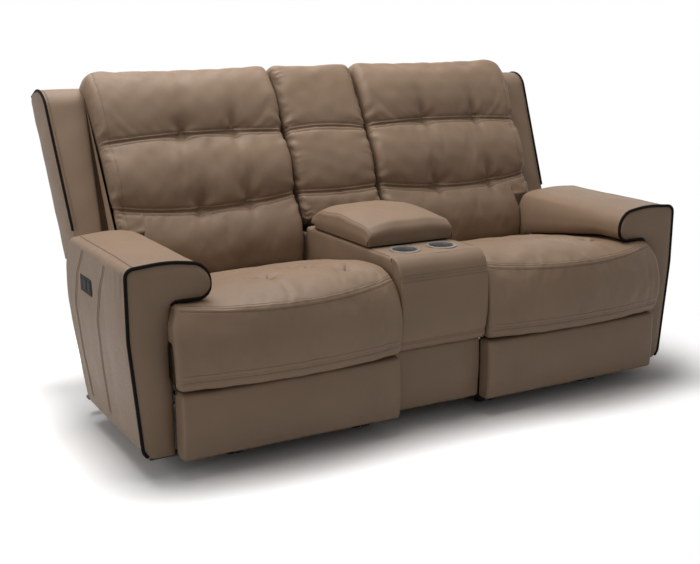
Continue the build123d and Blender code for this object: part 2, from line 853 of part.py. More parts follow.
def footrest_pan():
    inner = seat_inner + footrest_side_gap + pan_margin
    outer = seat_outer - footrest_side_gap - pan_margin
    pan = box(inner, outer, pan_back_y - pan_thickness, pan_back_y, footrest_bottom + pan_margin,
              footrest_top - pan_margin)
    half = link_thickness / 2
    reach = link_width / 2
    ear = [
        (pan_back_y - ear_lap, toe_z - 2.5 * reach),
        (toe_y + reach, toe_z - reach),
        (toe_y + reach, toe_z + reach),
        (pan_back_y - ear_lap, toe_z + 2.5 * reach),
    ]
    plate = side_cut(ear, pan_ear_x - half, pan_ear_x + half, [0.0, ear_corner, ear_corner, 0.0])
    bore = link_pin_radius + pin_clearance
    plate -= pin(pan_ear_x - link_spacing, pan_ear_x + link_spacing, toe_y, toe_z, bore)
    for solid in both_ends(plate):
        pan += solid
    return only(pan)


def flat_pad(x_from, x_to, back, front, low, high, bulge, draw):
    """A padded panel that faces the front, crowned in the middle and drawn in at its edges."""
    middle = (x_from + x_to) / 2
    half = (x_to - x_from) / 2
    faces = []
    for t in (-1.0, -0.9, 0.0, 0.9, 1.0):
        inset = draw if abs(t) == 1.0 else 0.0
        corners = [(front + inset, low + inset / 3), (back, low), (back, high),
                   (front + inset, high - inset / 3)]
        faces.append(section(middle + half * t, corners, [0.0, 0.0, 0.0, bulge * (1 - 0.6 * t * t)]))
    return only(loft(faces))


keep_pair("footrest_rear_links", footrest_rear_links())
keep_pair("footrest_front_links", footrest_front_links())
keep_pair("footrest_pan", footrest_pan())
keep_pair("footrest_cushion", flat_pad(seat_inner + footrest_side_gap, seat_outer - footrest_side_gap,
                                       pan_back_y - pan_thickness, footrest_front_y, footrest_bottom,
                                       footrest_top, footrest_bulge, footrest_draw))


# Backs: boards, brackets on the recline pins, a channelled cushion, a rear skin and a piped wing
def back_frame():
    half = link_thickness / 2
    post = hip_link_x + half
    post_top = skin_top - post_top_drop
    posts = both_ends(back_slab(frame_back, frame_front, post_bottom, post_top, post, post + upright))
    left_end = seat_inner + seat_frame_inset
    top = back_slab(frame_back, frame_front, post_top, post_top + back_rail, left_end, wing_inner)
    far_post = 2 * mechanism_center_x - post
    low = back_slab(frame_back, frame_front, post_bottom, post_bottom + back_rail, post + upright,
                    far_post - upright)
    rest = back_notch_top + wing_rail_lift
    bracket_face = far_post + link_thickness
    wing_rail = back_slab(frame_back, frame_front, rest, rest + back_rail, bracket_face, wing_inner)
    return posts + [top, low, wing_rail]


def back_brackets():
    half = link_thickness / 2
    outline = [
        *bracket_ear,
        (frame_front - bracket_inset, bracket_shin),
        (frame_front - bracket_inset, bracket_top),
        (frame_back + bracket_inset, bracket_top),
        (frame_back + bracket_inset, bracket_calf),
        bracket_heel,
    ]
    ear, shin, end = bracket_ear_round, bracket_round, bracket_end_round
    plate = side_cut([back_yz(b, a) for b, a in outline], hip_link_x - half, hip_link_x + half,
                     [ear, ear, shin, end, end, shin, ear])
    bore = recline_pin_radius + pin_clearance
    plate -= pin(hip_link_x - link_spacing, hip_link_x + link_spacing, pivot_y, pivot_z, bore)
    return both_ends(plate)


def channelled_cushion(x_from, x_to, lowest, bulge, end_draw):
    """A back cushion with a seam between each of its three panels, drawn in at both ends."""
    middle = (x_from + x_to) / 2
    half = (x_to - x_from) / 2
    edge = 1 - back_boxing / half
    faces = []
    for t in (-1.0, -edge, -0.45, 0.0, 0.45, edge, 1.0):
        draw = end_draw if abs(t) == 1.0 else 0.0
        swell = bulge * (1.0 if draw == 0.0 else 0.35)
        plane = seam_plane - draw
        heel = [(frame_front, lowest)]
        if lowest < heel_top:
            heel = [(heel_forward, lowest), (heel_forward, heel_top), (frame_front, heel_slope_top)]
        local = [(plane, lowest)] + heel + [
            (frame_front, skin_top - draw),
            (plane - back_top_round, back_top - 1.5 * draw),
            (plane, upper_seam),
            (plane, lower_seam),
        ]
        bulges = [0.0] * (len(heel) + 1) + [back_top_bulge, swell + back_head_bulge, swell, swell]
        faces.append(section(middle + half * t, [back_yz(b, a) for b, a in local], bulges))
    cushion = loft(faces)
    for seam in (lower_seam, upper_seam):
        for share in (-0.36, 0.36):
            y, z = back_yz(seam_plane, seam)
            cushion -= tuft(middle + half * share, y, z, (0, -math.cos(lean), math.sin(lean)))
    return cushion


def back_cushion():
    cushion = channelled_cushion(seat_inner, back_outer, back_bottom, panel_bulge, back_end_draw)
    front = seam_plane + panel_bulge + cut_reach
    notch = back_slab(skin_back, front, back_bottom - cut_reach, back_notch_top,
                      pillow_inner - notch_clearance, half_width)
    return only(cushion - notch)


def wing_run():
    """Corners of the wing's side view, in the leaning frame."""
    return [
        (wing_front, wing_bottom_front, 0.0),
        (skin_back, wing_bottom_rear, wing_bottom_radius),
        (skin_back, wing_top, wing_rear_radius),
        (wing_front, wing_top, wing_front_radius),
    ]


def wing_outer(a):
    """How far out the wing's outer face lies at a height up the back."""
    share = (a - wing_bottom_rear) / (wing_top - wing_bottom_rear)
    return wing_inner + wing_bottom_width + wing_flare * share


def wing_piping(radius):
    run = [(wing_front, wing_bottom_front + wing_piping_start), (wing_front, wing_top),
           (skin_back + wing_piping_end, wing_top)]
    points = [(wing_outer(a), *back_yz(b, a)) for b, a in run]
    path = FilletPolyline(*points, radius=wing_front_radius)
    return sweep(Plane(path @ 0, z_dir=path % 0) * Circle(radius), path=path)


def wing_pad():
    run = wing_run()
    widest = wing_outer(wing_top) + cut_margin
    pad = side_cut([back_yz(b, a) for b, a, _ in run], wing_inner, widest, [r for _, _, r in run])
    slope = []
    low, high = wing_bottom_rear - cut_reach, wing_top + cut_reach
    rear, front = skin_back - cut_reach, wing_front + cut_reach
    for a, b in ((low, rear), (low, front), (high, front), (high, rear)):
        slope.append((wing_outer(a), *back_yz(b, a)))
    outside = extrude(make_face(Polyline(*slope, close=True)), amount=wing_bottom_width, dir=(1, 0, 0))
    return only(pad - outside - wing_piping(piping_radius + piping_groove))


keep_pair("back_frame", back_frame())
keep_pair("back_brackets", back_brackets())
keep_pair("back_cushion", back_cushion())
keep_pair("back_skin", back_slab(skin_back, frame_back, skin_bottom, skin_top, seat_inner,
                                 wing_inner - fit_gap))
keep_pair("wing_pad", wing_pad())
keep_pair("wing_piping", only(wing_piping(piping_radius)))


# Middle back, fixed to the console
def middle_back_frame():
    outer = console_half - console_skin - console_board
    inner = outer - middle_board
    outline = [
        (console_rear_y - middle_foot_depth, rear_panel_top + middle_foot_lift),
        (panel_front_y, rear_panel_top + middle_foot_lift),
        back_yz(frame_back, back_bottom),
        back_yz(frame_back, skin_top),
        back_yz(frame_front, skin_top),
        back_yz(frame_front, middle_bottom - middle_frame_drop),
        (console_rear_y - middle_neck, console_height - middle_neck_drop),
        (console_rear_y - middle_foot_depth, console_height - middle_neck_drop),
    ]
    sides = [side_cut(outline, inner, outer), side_cut(outline, -outer, -inner)]
    return sides + [back_slab(frame_back, frame_back + middle_back_board, 0.0, skin_top, -inner, inner)]


def middle_back_upholstery():
    cushion = channelled_cushion(-console_half, console_half, middle_bottom, middle_bulge, middle_end_draw)
    skin = back_slab(skin_back, frame_back, back_bottom, skin_top, -console_half, console_half)
    return only(cushion) + [skin]


keep("middle_back_frame", middle_back_frame())
keep("middle_back_upholstery", middle_back_upholstery())


# Console: boards, a bin, cup holders, covers and pads
board_outer = console_half - console_skin
board_inner = board_outer - console_board
top_board = console_height - console_top_pad
shelf_low = top_board - console_board


def console_frame():
    sides = [box(board_inner, board_outer, console_front_y, panel_front_y, bar_top, shelf_low),
             box(-board_outer, -board_inner, console_front_y, panel_front_y, bar_top, shelf_low)]
    front = box(-board_inner, board_inner, console_front_y, console_front_y + console_board, bar_top,
                shelf_low)
    shelf = box(-board_outer, board_outer, console_front_y, console_rear_y - shelf_rear_gap, shelf_low,
                top_board)
    shelf -= bin_block(fit_gap)
    for x in (-cup_x, cup_x):
        shelf -= cup_bore(x, fit_gap)
    return sides + [front] + only(shelf)


def bin_block(grow):
    return box(-bin_half_width - grow, bin_half_width + grow, bin_front_y - grow, bin_rear_y + grow,
               console_height - bin_depth, console_height + cut_margin)


def cup_bore(x, grow):
    bore = Cylinder(cup_radius + grow, cup_depth + 3 * cut_reach)
    return Pos(x, cup_y, console_height - cup_depth / 2) * bore


def storage_bin():
    bin_floor = console_height - bin_depth
    tub = box(-bin_half_width, bin_half_width, bin_front_y, bin_rear_y, bin_floor, console_height)
    tub += box(-bin_half_width - bin_flange, bin_half_width + bin_flange, bin_front_y - bin_flange,
               bin_rear_y + bin_flange, console_height, console_height + flange_thickness)
    tub -= box(-bin_half_width + bin_wall, bin_half_width - bin_wall, bin_front_y + bin_wall,
               bin_rear_y - bin_wall, bin_floor + bin_wall, console_height + cut_margin)
    return only(tub)


def cup_holders():
    solids = []
    for x in (-cup_x, cup_x):
        bottom = console_height - cup_depth
        can = Pos(x, cup_y, console_height - cup_depth / 2) * Cylinder(cup_radius, cup_depth)
        ring_middle = Pos(x, cup_y, console_height + flange_thickness / 2)
        ring = ring_middle * Cylinder(cup_radius + cup_ring, flange_thickness)
        room = cup_depth + flange_thickness
        hollow = Pos(x, cup_y, bottom + cup_wall + room / 2) * Cylinder(cup_radius - cup_wall, room)
        solids += only(can + ring - hollow)
    return solids


def console_cover():
    top = box(-console_half, console_half, console_front_y, console_rear_y, top_board, console_height)
    top -= bin_block(fit_gap)
    for x in (-cup_x, cup_x):
        top -= cup_bore(x, fit_gap)
    sides = [box(board_outer, console_half, console_front_y, panel_front_y, upholstery_bottom, top_board),
             box(-console_half, -board_outer, console_front_y, panel_front_y, upholstery_bottom, top_board)]
    return only(top) + sides


def console_front_pad():
    faces = []
    for t in (-1.0, -0.88, 0.0, 0.88, 1.0):
        draw = pad_end_draw if abs(t) == 1.0 else 0.0
        seam_y = console_pad_front_y + draw
        corners = [
            (seam_y + pad_foot_round, lip_bottom + draw / 2),
            (console_front_y, lip_bottom),
            (console_front_y, console_height),
            (console_front_y - pad_shoulder, console_height - draw / 3),
            (seam_y, console_pad_seam),
            (seam_y + pad_foot_tuck, lip_bottom + pad_foot_rise),
        ]
        bulges = [0.0, 0.0, 0.0, pad_top_bulge, pad_bulge - draw, pad_bulge]
        faces.append(section(console_half * t, corners, bulges))
    return only(loft(faces))


keep("console_frame", console_frame())
keep("storage_bin", storage_bin())
keep("cup_holders", cup_holders())
keep("console_cover", console_cover())
keep("console_front_pad", console_front_pad())
keep("console_lower_pad", flat_pad(-console_half, console_half, console_front_y, lower_pad_front_y,
                                   upholstery_bottom, lip_bottom - front_pad_split, lower_pad_bulge,
                                   lower_pad_draw))


# Lid: a board and pad on a leaf that turns on the console's hinge pin
def knuckle_spots(first, count):
    """Middles of knuckles along the hinge, each two knuckle lengths from the next."""
    return [first + 2 * n * knuckle_length for n in range(count)]


def console_hinge():
    reach = 2.5 * knuckle_length
    body = pin(-reach, reach, hinge_y, hinge_z, hinge_pin_radius)
    half = knuckle_length / 2 - knuckle_gap
    for x in knuckle_spots(-2 * knuckle_length, 3):
        body += pin(x - half, x + half, hinge_y, hinge_z, knuckle_radius)
        body += box(x - half, x + half, hinge_y, hinge_y + knuckle_radius, console_height, hinge_z)
    body += box(-reach, reach, hinge_y, console_rear_y, console_height, console_height + leaf_thickness)
    return only(body)


def lid_leaf():
    bottom = hinge_z - knuckle_radius
    half = knuckle_length / 2 - knuckle_gap
    reach = knuckle_spots(-knuckle_length, 2)
    body = box(reach[0] - half, reach[-1] + half, hinge_y - leaf_length,
               hinge_y - knuckle_radius - leaf_relief, bottom, bottom + leaf_thickness)
    for x in reach:
        body += box(x - half, x + half, hinge_y - leaf_length, hinge_y, bottom, bottom + leaf_thickness)
        body += pin(x - half, x + half, hinge_y, hinge_z, knuckle_radius)
    for x in reach:
        body -= pin(x - half, x + half, hinge_y, hinge_z, hinge_pin_radius + pin_clearance)
    return only(body)


def lid_board():
    side = lid_half_width - lid_board_side
    leaf_top = hinge_z - knuckle_radius + leaf_thickness
    rear = hinge_y - knuckle_radius - leaf_relief
    board = box(-side, side, lid_front_y + lid_board_front, rear, lid_board_bottom, lid_board_top)
    board -= box(-side, side, hinge_y - leaf_length - fit_gap, rear, lid_board_bottom - cut_margin, leaf_top)
    return only(board)


def lid_pad():
    faces = []
    for t in (-1.0, -0.86, 0.0, 0.86, 1.0):
        draw = lid_side_draw if abs(t) == 1.0 else 0.0
        crest = lid_board_top + lid_pad_height - draw
        fall = lid_rear_drop * (1 - draw / lid_pad_height)
        corners = [
            (lid_front_y + draw / 2, lid_board_top),
            (lid_rear_y, lid_board_top + 3 * knuckle_clearance),
            (lid_rear_y, crest - fall),
            (lid_rear_y - fall, crest),
            (lid_front_y + lid_front_round + draw / 2, crest),
            (lid_front_y + draw / 2, crest - lid_front_round),
        ]
        bulges = [0.0, 0.0, lid_rear_bulge, lid_crown * (1 - 0.5 * t * t), lid_front_bulge, lid_nose_bulge]
        faces.append(section(lid_half_width * t, corners, bulges))
    return only(loft(faces))


keep("console_hinge", console_hinge())
keep("lid_leaf", lid_leaf())
keep("lid_board", lid_board())
keep("lid_pad", lid_pad())

os.makedirs("parts", exist_ok=True)
for name, solids in parts.items():
    shape = solids[0] if len(solids) == 1 else Compound(children=[Part(solid.wrapped) for solid in solids])
    export_step(shape, f"parts/{name}.step")
print(len(parts), "pieces")
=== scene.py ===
import math
import bmesh
import bpy
import numpy as np
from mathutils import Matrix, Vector


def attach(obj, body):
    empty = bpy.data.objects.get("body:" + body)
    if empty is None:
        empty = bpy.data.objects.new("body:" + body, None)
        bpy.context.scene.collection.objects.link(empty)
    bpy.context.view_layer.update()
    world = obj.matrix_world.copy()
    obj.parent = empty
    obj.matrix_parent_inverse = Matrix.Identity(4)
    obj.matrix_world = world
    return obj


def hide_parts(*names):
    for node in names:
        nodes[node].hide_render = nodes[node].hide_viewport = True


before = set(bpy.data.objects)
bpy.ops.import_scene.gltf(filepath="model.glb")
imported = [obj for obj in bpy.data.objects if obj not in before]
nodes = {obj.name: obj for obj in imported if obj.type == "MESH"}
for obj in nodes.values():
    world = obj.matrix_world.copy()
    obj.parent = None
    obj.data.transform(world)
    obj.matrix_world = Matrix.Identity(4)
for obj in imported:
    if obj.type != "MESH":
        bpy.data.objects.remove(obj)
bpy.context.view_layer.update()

# Studio: a white floor, whose seen colour is painted darker near the sofa as a painted contact shadow, and
# white surroundings, one broad lamp overhead, above the backs, and soft fills at the left and in front. The
# camera stands in front of the left-hand seat, above the arms.
scene = bpy.context.scene
scene.view_settings.view_transform = "Standard"

camera_place = Vector((-1.881, -3.217, 1.283))
camera_yaw = math.radians(29.58)
camera_pitch = math.radians(13.99)
camera_aim = Vector((math.sin(camera_yaw) * math.cos(camera_pitch),
                     math.cos(camera_yaw) * math.cos(camera_pitch), -math.sin(camera_pitch)))
camera = bpy.data.objects.new("camera", bpy.data.cameras.new("camera"))
camera.location = camera_place
camera.rotation_euler = camera_aim.to_track_quat("-Z", "Y").to_euler()
camera.data.sensor_width = 36.0
camera.data.lens = 58.17
scene.collection.objects.link(camera)
scene.camera = camera


def lamp(name, place, target, size, watts):
    """A square lamp that faces a point."""
    light = bpy.data.lights.new(name, "AREA")
    light.shape = "SQUARE"
    light.size = size
    light.energy = watts
    holder = bpy.data.objects.new(name, light)
    holder.location = place
    holder.rotation_euler = (Vector(target) - Vector(place)).to_track_quat("-Z", "Y").to_euler()
    scene.collection.objects.link(holder)


lamp("overhead_lamp", (-0.4, 0.42, 3.2), (0.0, -0.1, 0.4), 2.4, 110.0)
lamp("left_lamp", (-4.2, -0.2, 1.7), (-0.4, 0.0, 0.5), 2.2, 23.0)
lamp("front_lamp", (0.6, -4.6, 2.6), (0.2, 0.0, 0.5), 2.4, 7.0)


def shader_node(tree, kind, operation=None, **values):
    """A shader node of a kind, with its operation and the values of its input sockets by name."""
    made = tree.nodes.new("ShaderNode" + kind)
    if operation:
        made.operation = operation
    for name, value in values.items():
        made.inputs[name.replace("_", " ").title()].default_value = value
    return made


def wire(tree, *wires):
    """Links outputs to inputs, each given as (node, output, node, input)."""
    for source, output, target, entry in wires:
        tree.links.new(source.outputs[output], target.inputs[entry])


def white_when_seen(tree, seen, lit):
    """Mixes two shaders: one for rays that see the surface, one for the light it sends on."""
    path = shader_node(tree, "LightPath")
    either = shader_node(tree, "Math", "MAXIMUM")
    any_sight = shader_node(tree, "Math", "MAXIMUM")
    mix = shader_node(tree, "MixShader")
    wire(tree, (path, "Is Camera Ray", either, 0), (path, "Is Glossy Ray", either, 1),
         (either, 0, any_sight, 0), (path, "Is Transmission Ray", any_sight, 1),
         (any_sight, 0, mix, 0), (lit, 0, mix, 1), (seen, 0, mix, 2))
    return mix


world = bpy.data.worlds.new("white_surroundings")
world.use_nodes = True
scene.world = world
sky = world.node_tree
sky.nodes.clear()
sky_seen = shader_node(sky, "Background", color=(1.0, 1.0, 1.0, 1.0), strength=1.0)
sky_lit = shader_node(sky, "Background", color=(1.0, 0.985, 0.97, 1.0), strength=0.165)
sky_out = shader_node(sky, "OutputWorld")
wire(sky, (white_when_seen(sky, sky_seen, sky_lit), 0, sky_out, "Surface"))

floor_half = 12.0
shaded_half = (0.93, 0.45, 0.0)
floor_mesh = bpy.data.meshes.new("floor")
floor_mesh.from_pydata([(-floor_half, -floor_half, 0.0), (floor_half, -floor_half, 0.0),
                        (floor_half, floor_half, 0.0), (-floor_half, floor_half, 0.0)], [], [(0, 1, 2, 3)])
floor = bpy.data.objects.new("floor", floor_mesh)
scene.collection.objects.link(floor)
floor_white = bpy.data.materials.new("floor_white")
floor_white.use_nodes = True
floor_tree = floor_white.node_tree
floor_tree.nodes.clear()
floor_near = shader_node(floor_tree, "BsdfDiffuse")
floor_far = shader_node(floor_tree, "Emission")
floor_place = shader_node(floor_tree, "TexCoord")
floor_size = shader_node(floor_tree, "VectorMath", "ABSOLUTE")
floor_past = shader_node(floor_tree, "VectorMath", "SUBTRACT")
floor_past.inputs[1].default_value = shaded_half
floor_clear = shader_node(floor_tree, "VectorMath", "MAXIMUM")
floor_reach = shader_node(floor_tree, "VectorMath", "LENGTH")
# Painted shadow: the floor's seen colour is darker within 0.2 m of the sofa's footprint, a painted contact
# shadow under and around it.
floor_painted_shadow = shader_node(floor_tree, "MapRange", from_max=0.2, to_min=1.1, to_max=1.7)
floor_fade = shader_node(floor_tree, "MapRange", from_min=0.2, from_max=0.8)
floor_seen = shader_node(floor_tree, "MixShader")
floor_lit = shader_node(floor_tree, "BsdfDiffuse", color=(0.8, 0.8, 0.8, 1.0))
floor_out = shader_node(floor_tree, "OutputMaterial")
wire(floor_tree, (floor_place, "Object", floor_size, 0), (floor_size, "Vector", floor_past, 0),
     (floor_past, "Vector", floor_clear, 0), (floor_clear, "Vector", floor_reach, 0),
     (floor_reach, "Value", floor_painted_shadow, "Value"), (floor_painted_shadow, "Result", floor_near, "Color"),
     (floor_reach, "Value", floor_fade, "Value"), (floor_fade, "Result", floor_seen, 0),
     (floor_near, 0, floor_seen, 1), (floor_far, 0, floor_seen, 2))
wire(floor_tree, (white_when_seen(floor_tree, floor_seen, floor_lit), 0, floor_out, "Surface"))
floor_mesh.materials.append(floor_white)


# Base: black painted steel rails and track plates that the arms and console stand on, with moulded feet,
# and a board across the back under a black dust cloth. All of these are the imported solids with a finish.
def new_group(name, inputs, outputs):
    """An empty shader node group with a vector input, more number inputs and number outputs."""
    group = bpy.data.node_groups.new(name, "ShaderNodeTree")
    group.interface.new_socket("Vector", in_out="INPUT", socket_type="NodeSocketVector")
    for socket in inputs:
        group.interface.new_socket(socket, in_out="INPUT", socket_type="NodeSocketFloat")
    for socket in outputs:
        group.interface.new_socket(socket, in_out="OUTPUT", socket_type="NodeSocketFloat")
    return group, group.nodes.new("NodeGroupInput"), group.nodes.new("NodeGroupOutput")


def mottle_group():
    """Slow drifts of tone and fine specks, both from noise, for paint, plastic, metal, board and cloth."""
    group, source, sink = new_group("mottle", ("Scale", "Detail"), ("Tone", "Height"))
    slow = shader_node(group, "TexNoise")
    fine = shader_node(group, "TexNoise")
    slower = shader_node(group, "Math", "MULTIPLY")
    slower.inputs[1].default_value = 0.06
    blend = shader_node(group, "Math", "MULTIPLY_ADD")
    blend.inputs[1].default_value = 0.5
    half = shader_node(group, "Math", "MULTIPLY")
    half.inputs[1].default_value = 0.5
    wire(group, (source, "Vector", slow, "Vector"), (source, "Vector", fine, "Vector"),
         (source, "Scale", slower, 0), (slower, 0, slow, "Scale"), (source, "Scale", fine, "Scale"),
         (source, "Detail", fine, "Detail"), (fine, "Fac", half, 0), (slow, "Fac", blend, 0),
         (half, 0, blend, 2), (blend, 0, sink, "Tone"), (fine, "Fac", sink, "Height"))
    return group


mottle = mottle_group()


def toned(name, group_tree, dark, light, gloss_range, gloss, bump, depth, shine):
    """The start of a finish: a group's tone mixes two colours, its height gives relief, and a value that is
    still to be linked gives roughness between two limits."""
    material = bpy.data.materials.new(name)
    material.use_nodes = True
    tree = material.node_tree
    shader = tree.nodes["Principled BSDF"]
    shader.inputs["Specular IOR Level"].default_value = shine
    place = shader_node(tree, "TexCoord")
    group = tree.nodes.new("ShaderNodeGroup")
    group.node_tree = group_tree
    colour = tree.nodes.new("ShaderNodeMix")
    colour.data_type = "RGBA"
    colour.inputs["A"].default_value = (*dark, 1.0)
    colour.inputs["B"].default_value = (*light, 1.0)
    satin = shader_node(tree, "MapRange", from_min=gloss_range[0], from_max=gloss_range[1], to_min=gloss[0],
                        to_max=gloss[1])
    relief = shader_node(tree, "Bump", strength=bump, distance=depth)
    wire(tree, (group, "Tone", colour, "Factor"), (colour, "Result", shader, "Base Color"),
         (satin, "Result", shader, "Roughness"), (group, "Height", relief, "Height"),
         (relief, "Normal", shader, "Normal"))
    return material, shader, place, group, satin


def finish(name, dark, light, rough, scale, stretch=(1.0, 1.0, 1.0), bump=0.15, depth=0.0004, metal=0.0,
           swing=0.07, shine=0.25):
    """A hard finish: tone between two colours, roughness about a middle value, and a fine relief."""
    material, shader, place, group, satin = toned(name, mottle, dark, light, (0.25, 0.75),
                                                  (rough - swing, rough + swing), bump, depth, shine)
    shader.inputs["Metallic"].default_value = metal
    group.inputs["Scale"].default_value = scale
    group.inputs["Detail"].default_value = 4.0
    mapping = shader_node(material.node_tree, "Mapping", scale=stretch)
    wire(material.node_tree, (place, "Object", mapping, "Vector"), (mapping, "Vector", group, "Vector"),
         (group, "Height", satin, "Value"))
    return material


def dress(material, *names):
    """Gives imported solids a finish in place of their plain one."""
    for name in names:
        mesh = nodes[name].data
        mesh.materials.clear()
        mesh.materials.append(material)


def pair(*names):
    """Left and right names of paired pieces."""
    return [f"{side}_{name}" for side in ("left", "right") for name in names]


black_paint = finish("black_paint", (0.012, 0.012, 0.013), (0.03, 0.03, 0.032), 0.42, 900.0, bump=0.2)
foot_plastic = finish("foot_plastic", (0.008, 0.008, 0.008), (0.02, 0.02, 0.02), 0.6, 700.0, bump=0.3)
dust_cloth = finish("dust_cloth", (0.006, 0.006, 0.007), (0.03, 0.03, 0.032), 0.9, 900.0, (1.0, 1.0, 3.0),
                    0.6, 0.0008)
dress(black_paint, "base_frame", *pair("seat_side_plates", "footrest_rear_links", "footrest_front_links",
                                       "footrest_pan", "back_brackets"))
dress(foot_plastic, "feet")
dress(dust_cloth, "rear_panel")

# Frames and drives: sawn boards under the upholstery, wire springs, and the black motor housings with
# their bright rods. Most of this shows only from below or with a seat open.
frame_board = finish("frame_board", (0.2, 0.14, 0.08), (0.34, 0.25, 0.16), 0.68, 60.0, (1.0, 1.0, 0.12),
                     0.25, 0.0006)
bright_steel = finish("bright_steel", (0.42, 0.42, 0.43), (0.62, 0.62, 0.63), 0.32, 600.0, metal=1.0,
                      bump=0.05)
motor_plastic = finish("motor_plastic", (0.016, 0.016, 0.018), (0.04, 0.04, 0.042), 0.5, 800.0, bump=0.25)
dress(frame_board, "console_frame", "middle_back_frame", "lid_board",
      *pair("arm_frame", "seat_frame", "back_frame"))
dress(bright_steel, *pair("seat_springs", "drive_rod"))
dress(motor_plastic, "recline_actuators", *pair("footrest_motor"))


# Arms: foam over boards under one leather cover, a pillow top that overhangs the seat, and a flat front
# face edged with black piping. The outer side is sewn from three panels, and carries the switch plate.
def hide_group():
    """Leather: small pressed cells, fine creases between them, and slow drifts of tone and gloss."""
    group, source, sink = new_group("hide", ("Cells", "Drift"), ("Tone", "Height", "Gloss"))
    cells = group.nodes.new("ShaderNodeTexVoronoi")
    cells.feature = "DISTANCE_TO_EDGE"
    creases = shader_node(group, "TexNoise", detail=5.0)
    drift = shader_node(group, "TexNoise", detail=3.0)
    crease_scale = shader_node(group, "Math", "MULTIPLY")
    crease_scale.inputs[1].default_value = 0.22
    pressed = shader_node(group, "MapRange", from_max=0.22)
    height = shader_node(group, "Math", "MULTIPLY_ADD")
    height.inputs[1].default_value = 0.55
    tone = shader_node(group, "Math", "MULTIPLY_ADD")
    tone.inputs[1].default_value = 0.18
    wire(group, (source, "Vector", cells, "Vector"), (source, "Vector", creases, "Vector"),
         (source, "Vector", drift, "Vector"), (source, "Cells", cells, "Scale"),
         (source, "Cells", crease_scale, 0), (crease_scale, 0, creases, "Scale"),
         (source, "Drift", drift, "Scale"), (cells, "Distance", pressed, "Value"),
         (pressed, "Result", height, 0), (creases, "Fac", height, 2), (pressed, "Result", tone, 0),
         (drift, "Fac", tone, 2), (tone, 0, sink, "Tone"), (height, 0, sink, "Height"),
         (creases, "Fac", sink, "Gloss"))
    return group


hide = hide_group()


def leather(name, dark, light, rough, shine=0.2):
    """A hide: tone between two colours, satin gloss that varies with the creases, pressed grain."""
    material, _, place, group, satin = toned(name, hide, dark, light, (0.3, 0.7),
                                             (rough - 0.06, rough + 0.08), 0.22, 0.0005, shine)
    group.inputs["Cells"].default_value = 520.0
    group.inputs["Drift"].default_value = 6.0
    wire(material.node_tree, (place, "Object", group, "Vector"), (group, "Gloss", satin, "Value"))
    return material


taupe_leather = leather("taupe_leather", (0.2, 0.135, 0.09), (0.265, 0.181, 0.122), 0.5)
black_leather = leather("black_leather", (0.004, 0.0034, 0.003), (0.009, 0.0075, 0.0065), 0.62, shine=0.06)
thread = finish("thread", (0.11, 0.075, 0.052), (0.17, 0.12, 0.085), 0.7, 1500.0, bump=0.5)


def rounded_run(points, radii, step=0.004):
    """A line through points in a plane, with each inner corner turned on an arc of its radius."""
    runs = [np.array(points[0], float)[None]]
    for before, corner, after, radius in zip(points, points[1:], points[2:], radii):
        corner = np.array(corner, float)
        back = np.array(before, float) - corner
        ahead = np.array(after, float) - corner
        back /= np.linalg.norm(back)
        ahead /= np.linalg.norm(ahead)
        half = 0.5 * math.acos(float(np.clip(back @ ahead, -1.0, 1.0)))
        reach = radius / math.tan(half)
        middle = corner + (back + ahead) / np.linalg.norm(back + ahead) * (radius / math.sin(half))
        share = np.linspace(0.0, 1.0, max(3, int(radius * (math.pi - 2 * half) / step)))[:, None]
        first = corner + back * reach - middle
        last = corner + ahead * reach - middle
        swing = math.pi - 2 * half
        arc = middle + (np.sin((1 - share) * swing) * first + np.sin(share * swing) * last) / math.sin(swing)
        runs.append(arc)
    runs.append(np.array(points[-1], float)[None])
    return np.concatenate(runs)


def along(line, places):
    """Points at given distances along a line."""
    steps = np.linalg.norm(np.diff(line, axis=0), axis=1)
    distance = np.concatenate([[0.0], np.cumsum(steps)])
    return np.stack([np.interp(places, distance, line[:, k]) for k in range(line.shape[1])], -1)


def length_of(line):
    """How long a line of points is."""
    return float(np.linalg.norm(np.diff(line, axis=0), axis=1).sum())


def evenly(line, count):
    """Points at equal distances along a line, from its start to its end."""
    return along(line, np.linspace(0.0, length_of(line), count))


def grid_faces(rows, columns, first, wrap):
    """Four-sided faces of a grid whose points are numbered row by row."""
    near = np.arange(rows - 1)[:, None] * columns
    far = near + columns
    j = np.arange(columns if wrap else columns - 1)[None]
    k = (j + 1) % columns
    quads = np.broadcast_arrays(near + j, near + k, far + k, far + j)
    return (first + np.stack(quads, -1)).reshape(-1, 4)


def set_down(name, mesh, material):
    """Puts a smooth mesh of one material into the scene."""
    mesh.polygons.foreach_set("use_smooth", np.ones(len(mesh.polygons), bool))
    mesh.materials.append(material)
    made = bpy.data.objects.new(name, mesh)
    scene.collection.objects.link(made)
    return made


weld_reach = 0.00004


def piece(name, grids, material, body, stands_for=(), caps=()):
    """One welded mesh from grids of points, each (points, wrapped). Caps close the first and last row of the
    wrapped grids that they number."""
    points = []
    faces = []
    count = 0
    for number, (grid, wrap) in enumerate(grids):
        rows, columns = grid.shape[:2]
        faces += grid_faces(rows, columns, count, wrap).tolist()
        if number in caps:
            faces.append(list(range(count, count + columns))[::-1])
            faces.append(list(range(count + (rows - 1) * columns, count + rows * columns)))
        points.append(grid.reshape(-1, 3))
        count += rows * columns
    mesh = bpy.data.meshes.new(name)
    mesh.from_pydata(np.concatenate(points).tolist(), [], faces)
    edit = bmesh.new()
    edit.from_mesh(mesh)
    bmesh.ops.remove_doubles(edit, verts=edit.verts, dist=weld_reach)
    bmesh.ops.dissolve_degenerate(edit, edges=edit.edges, dist=weld_reach / 2)
    bmesh.ops.recalc_face_normals(edit, faces=edit.faces)
    edit.to_mesh(mesh)
    edit.free()
    made = set_down(name, mesh, material)
    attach(made, body)
    if stands_for:
        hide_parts(*stands_for)


